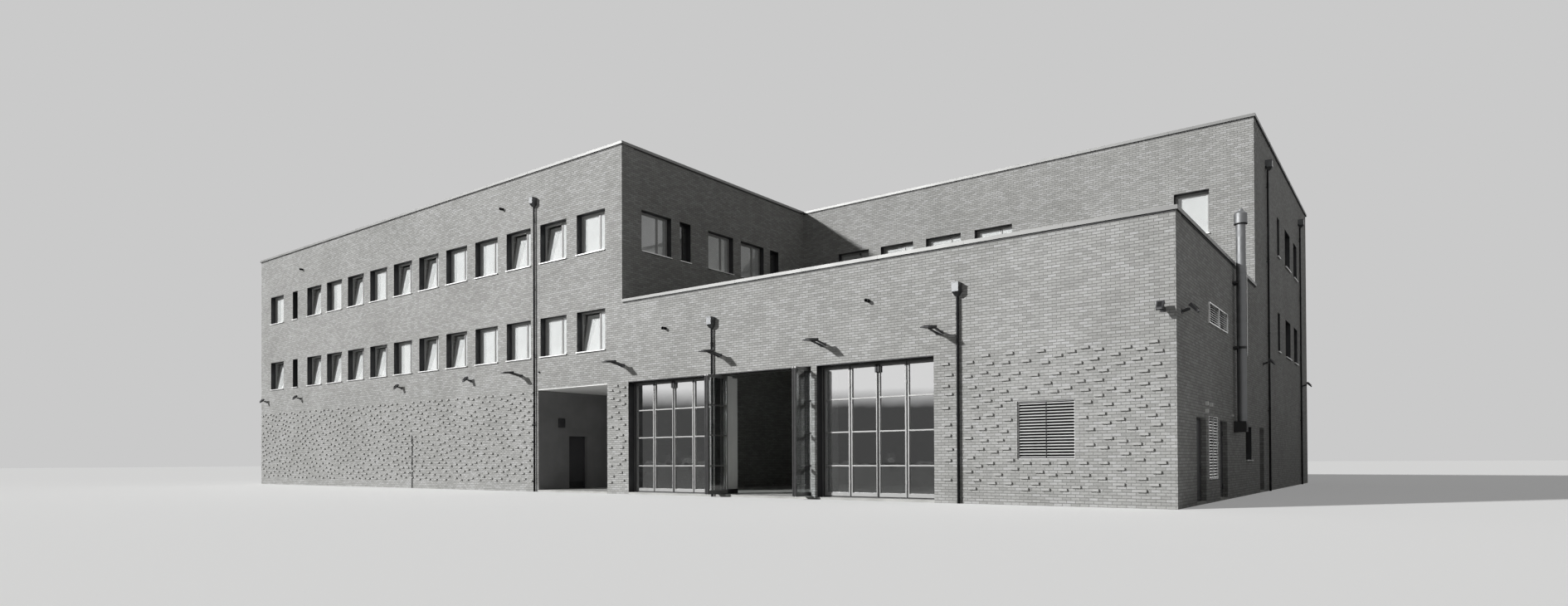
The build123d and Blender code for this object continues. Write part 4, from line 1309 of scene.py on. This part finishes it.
@dataclass(frozen=True)
class FloodLamps:
    """Flat flood lamps on forked arms that stand out from the walls.

    Fields: level is the wall plates' height, reach the arms' length, rise how much they climb, fork the distance of
    each arm from the middle, head the housing's width, depth and height, tilt its lean in degrees, bevel every
    edge's, fins how many cooling fins it has, rib their height.
    """

    level: float = 2.59
    reach: float = 0.25
    rise: float = 0.045
    fork: float = 0.05
    head: Triple = (0.175, 0.24, 0.036)
    tilt: float = 8.0
    bevel: float = 0.002
    fins: int = 7
    rib: float = 0.008

    def small(self) -> "FloodLamps":
        """Returns the sizes of the small lamps, whose heads hang down."""
        return replace(self, reach=0.09, rise=0.03, fork=0.022, tilt=48.0, head=(0.1, 0.15, 0.05))

    def shell(self) -> Part:
        """Models the housing: it thins towards its front, with a raised lid and a sunk glass.

        Returns:
            The housing, about its own middle.
        """
        width, depth, height = self.head
        shell = Bench.block((-width / 2, width / 2), (-depth / 2, depth / 2), (-height / 2, height / 2))
        Bench.press(shell, Way.OUT, scale=(0.8, 1, 0.4))
        Bench.press(shell, Way.UP, inset=0.1 * width, move=(0, 0, 0.006))
        return Bench.press(shell, Way.DOWN, inset=0.05 * width, draw=(0, 0, 0.006))

    def model(self) -> Part:
        """Models one lamp at the origin of its wall plate.

        Returns:
            The lamp.
        """
        width, depth, height = self.head
        wide = self.fork + 0.012
        parts = [Bench.block((-wide, wide), (-0.012, 0), (-0.03, 0.03), self.bevel)]
        climb = Matrix.Rotation(-math.atan2(self.rise, self.reach), 4, "X")
        for x in (-self.fork, self.fork):
            arm = Bench.block((x - 0.013, x + 0.013), (-math.hypot(self.reach, self.rise), 0), (-0.014, 0.014),
                              self.bevel)
            parts.append(Bench.moved(arm, climb))
        hang = Matrix.Translation((0, -(self.reach + depth / 2 - 0.01), self.rise))
        lean = hang @ Matrix.Rotation(math.radians(self.tilt), 4, "X")
        shell = self.shell()
        fins = [Bench.block((width * (0.08 * k - 0.26), width * (0.08 * k - 0.24)), (-0.3 * depth, 0.34 * depth),
                            (height / 2, height / 2 + self.rib)) for k in range(self.fins)]
        at = (-self.reach, self.rise - 0.004)
        knuckle = Bench.round_bar((-self.fork, *at), (self.fork, *at), 0.014, 12)
        parts += [knuckle] + [Bench.moved(part, lean) for part in (shell, *fins)]
        return Bench.join(parts, "lamp_model")

    def hang(self, places: Sequence[tuple[Face, float]]) -> list[Part]:
        """Hangs copies of the lamp at places along the walls."""
        return Bench.copies(self.model(), [wall.value.at(x, 0, self.level) for wall, x in places])

    def build(self) -> None:
        """Hangs the large lamps over the gates, and small ones along the wing and on the end wall."""
        large = [(Face.FRONT, 13.75)] + [(Face.HALL, x) for x in (0.01, 2.64, 4.975, 7.16)]
        small = [(Face.FRONT, x) for x in (0.43, 2.75, 8.6, 11.77)] + [(Face.HALL, 10.41), (Face.END, 0.3)]
        lower = replace(self.small(), level=2.5)
        lamps = self.hang(large) + self.small().hang(small) + lower.hang([(Face.END, 7.0), (Face.END, 13.3)])
        fit(lamps, "flood_lamps", LAMP_COAT, replaces=["wall_lamps"])


@dataclass(frozen=True)
class Louvres:
    """Framed grilles in two bays with slanting blades.

    Fields: frame is the frame's width, y its place in the wall, pitch the blades', blade half a blade's depth and
    half its thickness, angle its slope in degrees, depth how far its middle sits behind the frame's face, barred
    whether the frame has a post in the middle, front, low and high are the spans of the front grille and of the two
    at the end, along the wall and in height.
    """

    frame: float = 0.014
    y: Span = (0.02, 0.08)
    pitch: float = 0.0425
    blade: Span = (0.0078, 0.0015)
    angle: float = 45.0
    depth: float = 0.015
    barred: bool = False
    front: tuple[Span, Span] = ((8.4, 9.24), (0.655, 1.485))
    low: tuple[Span, Span] = ((1.89, 2.52), (0.34, 1.28))
    high: tuple[Span, Span] = ((1.93, 3.32), (2.655, 2.965))

    def grille(self, wall: Face, x: Span, z: Span) -> list[Part]:
        """Models one grille.

        Args:
            wall: its wall.
            x, z: its limits.

        Returns:
            Its parts, in place.
        """
        parts = [Bench.ring(x, self.y, z, self.frame, 0.002)]
        bottom, room = z[0] + self.frame, z[1] - z[0] - 2 * self.frame
        if self.barred:
            middle = (x[0] + x[1]) / 2
            parts.append(Bench.block((middle - 0.009, middle + 0.009), self.y, (bottom, z[1] - self.frame)))
        count = round(room / self.pitch)
        half, thin = self.blade
        blade = Bench.block((x[0] + self.frame, x[1] - self.frame), (-half, half), (-thin, thin))
        Bench.press(blade, Way.OUT, draw=(0, -0.001, -0.003))
        lean = Matrix.Rotation(math.radians(self.angle), 4, "X")
        parts += Bench.copies(blade, [
            Matrix.Translation((0, self.y[0] + self.depth, bottom + (k + 0.5) * room / count)) @ lean
            for k in range(count)])
        return [Bench.moved(p, wall.value.at()) for p in parts]

    def back(self, wall: Face, x: Span, z: Span) -> Part:
        """Closes a grille behind its blades with a dark tray, hollow towards them, that is painted shade in the shaft,
        and a post.

        Args:
            wall: its wall.
            x, z: the grille's limits.

        Returns:
            The tray, in place.
        """
        tray = Bench.block((x[0] + 0.01, x[1] - 0.01), (self.y[1] - 0.02, self.y[1]), (z[0] + 0.01, z[1] - 0.01))
        Bench.press(tray, Way.OUT, inset=0.008, draw=(0, 0.015, 0))
        middle = (x[0] + x[1]) / 2
        post = Bench.block((middle - 0.006, middle + 0.006), (self.y[0] + 0.007, self.y[1] - 0.01),
                           (z[0] + 0.016, z[1] - 0.016), 0.001)
        return Bench.moved(Bench.join([tray, post], "tray"), wall.value.at())

    def build(self) -> None:
        """Builds the front grille and the two at the end, which stand proud of the wall."""
        fit(self.grille(Face.HALL, *self.front), "front_grille", LOUVRE_COAT, replaces=["front_louvre"])
        proud = replace(self, y=(-0.024, 0.04), depth=0.022, angle=61.0, barred=True)
        end = replace(proud, y=(-0.012, 0.05)).grille(Face.END, *self.low)
        end += replace(proud, pitch=0.034).grille(Face.END, *self.high)
        fit(end, "end_grilles", GRILLE_COAT, replaces=["end_louvres"])
        # Dark trays behind the blades: painted shade in the shafts
        trays = [self.back(Face.HALL, *self.front), self.back(Face.END, *self.low), self.back(Face.END, *self.high)]
        fit(trays, "louvre_painted_shade_trays", RUBBER_AND_PAINTED_SHADE)


@dataclass(frozen=True)
class GateFittings:
    """What sits on the folding gates: panes, hinges, finger guards, closers, brushes, head angles, floor rails, and
    thin dark sheets on the jambs that are painted shade.

    Fields: starts are the gates' left edges, width a gate's, open_gate the index of the open one, jamb and seal the
    surround's and the rubber's widths, face the closed leaves' outer face, outer where the open leaves end, rubber
    the ends of a finger guard, pier and deep the width and the far end of a white inner pier, plinth the height of
    its foot, hinges the heights of a joint's hinges, bevel most edges'.
    """

    starts: tuple[float, ...] = (0.175, 2.51, 4.845)
    width: float = 2.215
    open_gate: int = 1
    jamb: float = 0.025
    seal: float = 0.012
    face: float = 0.165
    outer: float = -0.33125
    rubber: Span = (0.06, 2.2)
    pier: float = 0.12
    deep: float = 0.64
    plinth: float = 0.085
    hinges: Triple = (0.3, 1.1, 1.9)
    bevel: float = 0.002

    def leaf_edges(self, start: float) -> list[float]:
        """Returns the middles of a closed gate's five joints along the wall, from the gate's left edge."""
        leaf = (self.width - 2 * self.jamb - 5 * self.seal) / 4
        return [start + self.jamb + self.seal / 2 + k * (leaf + self.seal) for k in range(5)]

    def folded_edges(self, start: float) -> list[float]:
        """Returns the left limits of the open gate's leaves, which stand square to the wall, from its left edge."""
        end = start + self.width
        return [start + 0.07, start + 0.12, end - 0.1, end - 0.15]

    @staticmethod
    def pane_limits() -> list[tuple[Span, ...]]:
        """Measures each pane in the CAD's gate glass.

        Returns:
            The limits on each axis, pane by pane.
        """
        node = frame["nodes"]["gate_glass"]
        mesh = bmesh.new()
        mesh.from_mesh(node.data)
        mesh.transform(node.matrix_world)
        bmesh.ops.remove_doubles(mesh, verts=mesh.verts, dist=1e-5)
        unseen, limits = set(mesh.verts), []
        while unseen:
            group = [unseen.pop()]
            for vert in group:
                linked = {edge.other_vert(vert) for edge in vert.link_edges} & unseen
                unseen -= linked
                group += linked
            limits.append(tuple((min(v.co[axis] for v in group), max(v.co[axis] for v in group))
                                for axis in range(3)))
        mesh.free()
        return sorted(limits)

    def build_panes(self) -> None:
        """Cuts each pane with ground edges: coated glass in the closed leaves, clear glass in the open ones."""
        closed, folded = [], []
        for x, y, z in self.pane_limits():
            row = folded if y[1] - y[0] > x[1] - x[0] else closed
            row.append(Bench.block(x, y, z, 0.0008))
        fit(closed, "closed_gate_panes", GATE_PANE, replaces=["gate_glass"])
        fit(folded, "open_gate_panes", WINDOW_PANE)

    def build_piers(self) -> None:
        """Carries the white inner piers on into the hall, with a dark plinth along each foot."""
        white, dark = [], []
        top = FLOOR + self.plinth
        for start in self.starts[1:]:
            left, right = start - self.pier, start + 0.002
            white.append(Bench.block((left, right), (2 * WALL, self.deep), (top, GATE_HEAD - 0.03), self.bevel))
            dark.append(Bench.block((left, right + 0.003), (WALL + 0.001, self.deep + 0.003), (FLOOR, top),
                                    self.bevel))
        fit(white, "deep_inner_piers", WHITE_PAINT, Face.HALL)
        fit(dark, "pier_plinths", DARK_STEEL_AND_PAINTED_SHADE, Face.HALL)

    def guard(self, x: Span, y: Span) -> Part:
        """Makes a finger guard, a rubber strip that runs up a leaf's edge."""
        return Bench.block(x, y, self.rubber, self.bevel)

    def closed_leaves(self, start: float) -> tuple[list[Part], list[Part], list[Part]]:
        """Makes what sits on a closed gate's leaves.

        Args:
            start: the gate's left edge.

        Returns:
            Its closers, its rubber and its hinges.
        """
        joints, face = self.leaf_edges(start), self.face
        halves = (0.009, 0.009, 0.016, 0.009, 0.009)
        rubber = [self.guard((x - half, x + half), (face - 0.008, face + 0.004)) for x, half in zip(joints, halves)]
        rubber.append(Bench.block((start + 0.03, start + self.width - 0.03), (face - 0.005, face + 0.002),
                                  (FLOOR + 0.004, FLOOR + 0.022), self.bevel))
        closers = [Bench.block((x - 0.018, x + 0.018), (face - 0.03, face - 0.002), (2.08, 2.21), 0.004)
                   for x in (joints[2] - 0.024, joints[2] + 0.024)]
        hinges = [Bench.round_bar((x, face - 0.01, z - 0.03), (x, face - 0.01, z + 0.03), 0.007, 12)
                  for x in (joints[1], joints[3]) for z in self.hinges]
        return closers, rubber, hinges

    def build(self) -> None:
        """Builds all panes, piers and fittings."""
        self.build_panes()
        self.build_piers()
        angles, rubber, bright = [], [], []
        for gate, start in enumerate(self.starts):
            end, back = start + self.width, self.face - 0.015
            angles.append(Bench.block((start, end), (-0.003, back), (GATE_HEAD - 0.008, GATE_HEAD + 0.008), 0.001))
            bright.append(Bench.block((start + 0.02, end - 0.02), (0.14, 0.21), (FLOOR, FLOOR + 0.004), 0.001))
            # Thin dark sheets on both jambs: painted shade in the reveals
            for x in ((start, start + 0.003), (end - 0.003, end)):
                angles.append(Bench.block(x, (0.004, back), (FLOOR, GATE_HEAD), 0.001))
            if gate == self.open_gate:
                rubber += [self.guard((x - 0.001, x + 0.031), (self.outer - 0.005, self.outer + 0.003))
                           for x in self.folded_edges(start)]
            else:
                closers, strips, hinges = self.closed_leaves(start)
                angles, rubber, bright = angles + closers, rubber + strips, bright + hinges
        fit(angles, "gate_head_angles_and_jamb_shade", DARK_STEEL_AND_PAINTED_SHADE, Face.HALL)
        fit(rubber, "gate_finger_guards", RUBBER_AND_PAINTED_SHADE, Face.HALL)
        fit(bright, "gate_hinges", GATE_PROFILE, Face.HALL)


@dataclass(frozen=True)
class DoorFittings:
    """Weather bar, kick plate and lock on each hinged door.

    Fields: face is the leaves' outer face, margin the room beside the bar and the plate, bar and kick their heights,
    lock the lock's distance from the leaf's edge, its height and its radius, doors names each body with its wall,
    its opening and whether it hangs on the left.
    """

    face: float = 0.075
    margin: float = 0.045
    bar: Span = (0.07, 0.088)
    kick: Span = (0.1, 0.2)
    lock: Triple = (0.053, 0.47, 0.009)
    doors: tuple[tuple[str, Face, Span, bool], ...] = (
        ("front_door", Face.END, (1.105, 1.730), True), ("middle_door", Face.END, (2.740, 3.325), False),
        ("back_door", Face.END, (6.500, 7.000), True), ("porch_door", Face.PORCH, (0.825, 1.325), True))

    def build(self) -> None:
        """Fits out the four doors."""
        edge, z, radius = self.lock
        for name, wall, (start, end), left in self.doors:
            x = (start + self.margin, end - self.margin)
            bar = Bench.block(x, (self.face - 0.012, self.face), self.bar)
            Bench.press(bar, Way.UP, move=(0, 0, 0.006))
            Bench.press(bar, Way.OUT, scale=(1, 1, 0.5))
            kick = Bench.block(x, (self.face - 0.0015, self.face), self.kick, 0.0006)
            at = end - edge if left else start + edge
            rose = Bench.round_bar((at, self.face - 0.005, z), (at, self.face, z), radius, 16)
            fit([bar, kick, rose], name + "_fittings", DARK_STEEL_AND_PAINTED_SHADE, wall, body=name + "_leaf")


@dataclass(frozen=True)
class WallFixtures:
    """The small boxes, lights and the conduit that are screwed to the walls, and a grey sheet of painted shade on the
    porch's jamb.

    Fields: eye and panel are a light and a box at the porch as wall, middle along it and in height, and size,
    sockets the white boxes' places on the end wall and socket their size, button and button_size the smallest one's,
    conduit the conduit's place along the front, its top and its radius, and saddles the heights of its saddles.
    """

    eye: tuple[Face, Span, Triple] = (Face.FRONT, (14.42, 2.63), (0.035, 0.03, 0.035))
    panel: tuple[Face, Span, Triple] = (Face.PORCH, (0.61, 1.53), (0.17, 0.03, 0.2))
    sockets: tuple[Span, ...] = ((1.7, 1.455), (1.7, 1.345), (2.0, 1.45))
    socket: Triple = (0.05, 0.04, 0.055)
    button: Span = (3.7, 1.36)
    button_size: Triple = (0.03, 0.03, 0.03)
    conduit: Triple = (9.125, 1.35, 0.009)
    saddles: Triple = (0.3, 0.8, 1.25)

    @staticmethod
    def box(wall: Face, at: Span, size: Triple) -> Part:
        """Models a box with a raised lid.

        Args:
            wall: the wall that carries it.
            at: its middle along the wall and its height.
            size: its width, depth and height.

        Returns:
            The box, in place.
        """
        (x, z), (width, depth, height) = at, size
        made = Bench.block((x - width / 2, x + width / 2), (-depth, 0), (z - height / 2, z + height / 2))
        Bench.press(made, Way.OUT, inset=width * 0.12, move=(0, -0.004, 0))
        return Bench.moved(made, wall.value.at())

    def build(self) -> None:
        """Builds the dark fixtures, the white ones and the grey sheet of painted shade on the porch's jamb."""
        dark = [self.box(*self.eye), self.box(*self.panel)]
        x, top, radius = self.conduit
        run = [Bench.round_bar((x, -0.014, 0.0), (x, -0.014, top), radius, 12)]
        run += [Bench.block((x - 0.017, x + 0.017), (-0.02, 0), (z, z + 0.012), 0.002) for z in self.saddles]
        dark += [Bench.moved(p, Face.FRONT.value.at()) for p in run]
        fit(dark, "dark_fixtures", LAMP_COAT)
        white = [self.box(Face.END, at, self.socket) for at in self.sockets]
        white.append(self.box(Face.END, self.button, self.button_size))
        fit(white, "white_fixtures", WHITE_PAINT)
        # A grey sheet over the porch's brick jamb: painted shade
        shade_lining = Bench.block((0.003, WALL + 0.01), (-0.003, 0.001), (FLOOR, GATE_HEAD - 0.01), 0.001)
        fit([shade_lining], "porch_jamb_painted_shade", GREY_PAINT_AND_PAINTED_SHADE, Face.PORCH)


@dataclass(frozen=True)
class Roofs:
    """The gravel on the flat roofs, inside the parapets.

    Fields: depth is the gravel's, margin the width of its edge, which lies higher by sag.
    """

    depth: float = 0.03
    margin: float = 0.25
    sag: float = 0.008

    def build(self) -> None:
        """Lays the gravel on both levels."""
        w = WALL
        fields = [
            ((LEFT + w, WING_RIGHT - w), (FRONT_Y + w, HALL_BACK + w), MAIN_ROOF),
            ((LEFT + w, RIGHT - w), (HALL_BACK + w, -HALL_BACK - w), MAIN_ROOF),
            ((-WING_RIGHT + w, RIGHT - w), (-HALL_BACK - w, BACK_Y - w), MAIN_ROOF),
            ((WING_RIGHT, RIGHT - w), (FRONT_Y + w, HALL_BACK), HALL_ROOF),
        ]
        beds = [Bench.press(Bench.block(x, y, (z, z + self.depth)), Way.UP, inset=self.margin, move=(0, 0, -self.sag))
                for x, y, z in fields]
        fit(beds, "roof_gravel", ROOF_GRAVEL)


class Dressing(Enum):
    """The finish of each material slot's CAD nodes."""

    BRICK = ("brick", FACING_BRICK)
    CONCRETE = ("concrete", CAST_CONCRETE)
    CAPPING = ("capping", CAPPING_SHEET)
    WINDOW_FRAME = ("window_frame", FRAME_COAT)
    WINDOW_SILL = ("window_sill", SILL_SHEET)
    WINDOW_GLASS = ("window_glass", WINDOW_PANE)
    GATE_FRAME = ("gate_frame", GATE_PROFILE)
    GATE_GLASS = ("gate_glass", GATE_PANE)
    RUBBER_AND_PAINTED_SHADE = ("rubber", RUBBER_AND_PAINTED_SHADE)
    DOOR = ("door", DOOR_COAT)
    LOUVRE = ("louvre", LOUVRE_COAT)
    RAINWATER = ("rainwater", RAIN_SHEET)
    FLUE = ("flue", FLUE_STEEL)
    LAMP = ("lamp", LAMP_COAT)
    WHITE_PAINT = ("white_paint", WHITE_PAINT)
    PAINTED_WALL = ("painted_wall", GREY_PAINT_AND_PAINTED_SHADE)

    @classmethod
    def put_on(cls) -> None:
        """Assigns the finishes to the CAD nodes by the record's slots."""
        finishes = {slot: finish.make() for slot, finish in (member.value for member in cls)}
        for part in frame["record"]["subparts"]:
            node = frame["nodes"][part["node"]]
            for holder in node.material_slots:
                holder.material = finishes[part["material_slot"]]


def main() -> None:
    """Builds the pieces in order."""
    logging.basicConfig(level=logging.INFO, format="%(name)s: %(message)s")
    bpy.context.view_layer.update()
    Studio().build()
    Dressing.put_on()
    for part in (ReliefBricks(), Cappings(), Windows(), Rainwater(), Flue(), FloodLamps(), Louvres(),
                 GateFittings(), DoorFittings(), WallFixtures(), Roofs()):
        log.info("building %s", type(part).__name__)
        part.build()
    Bench.hold()
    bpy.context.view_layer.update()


if __name__ == "__main__":
    main()
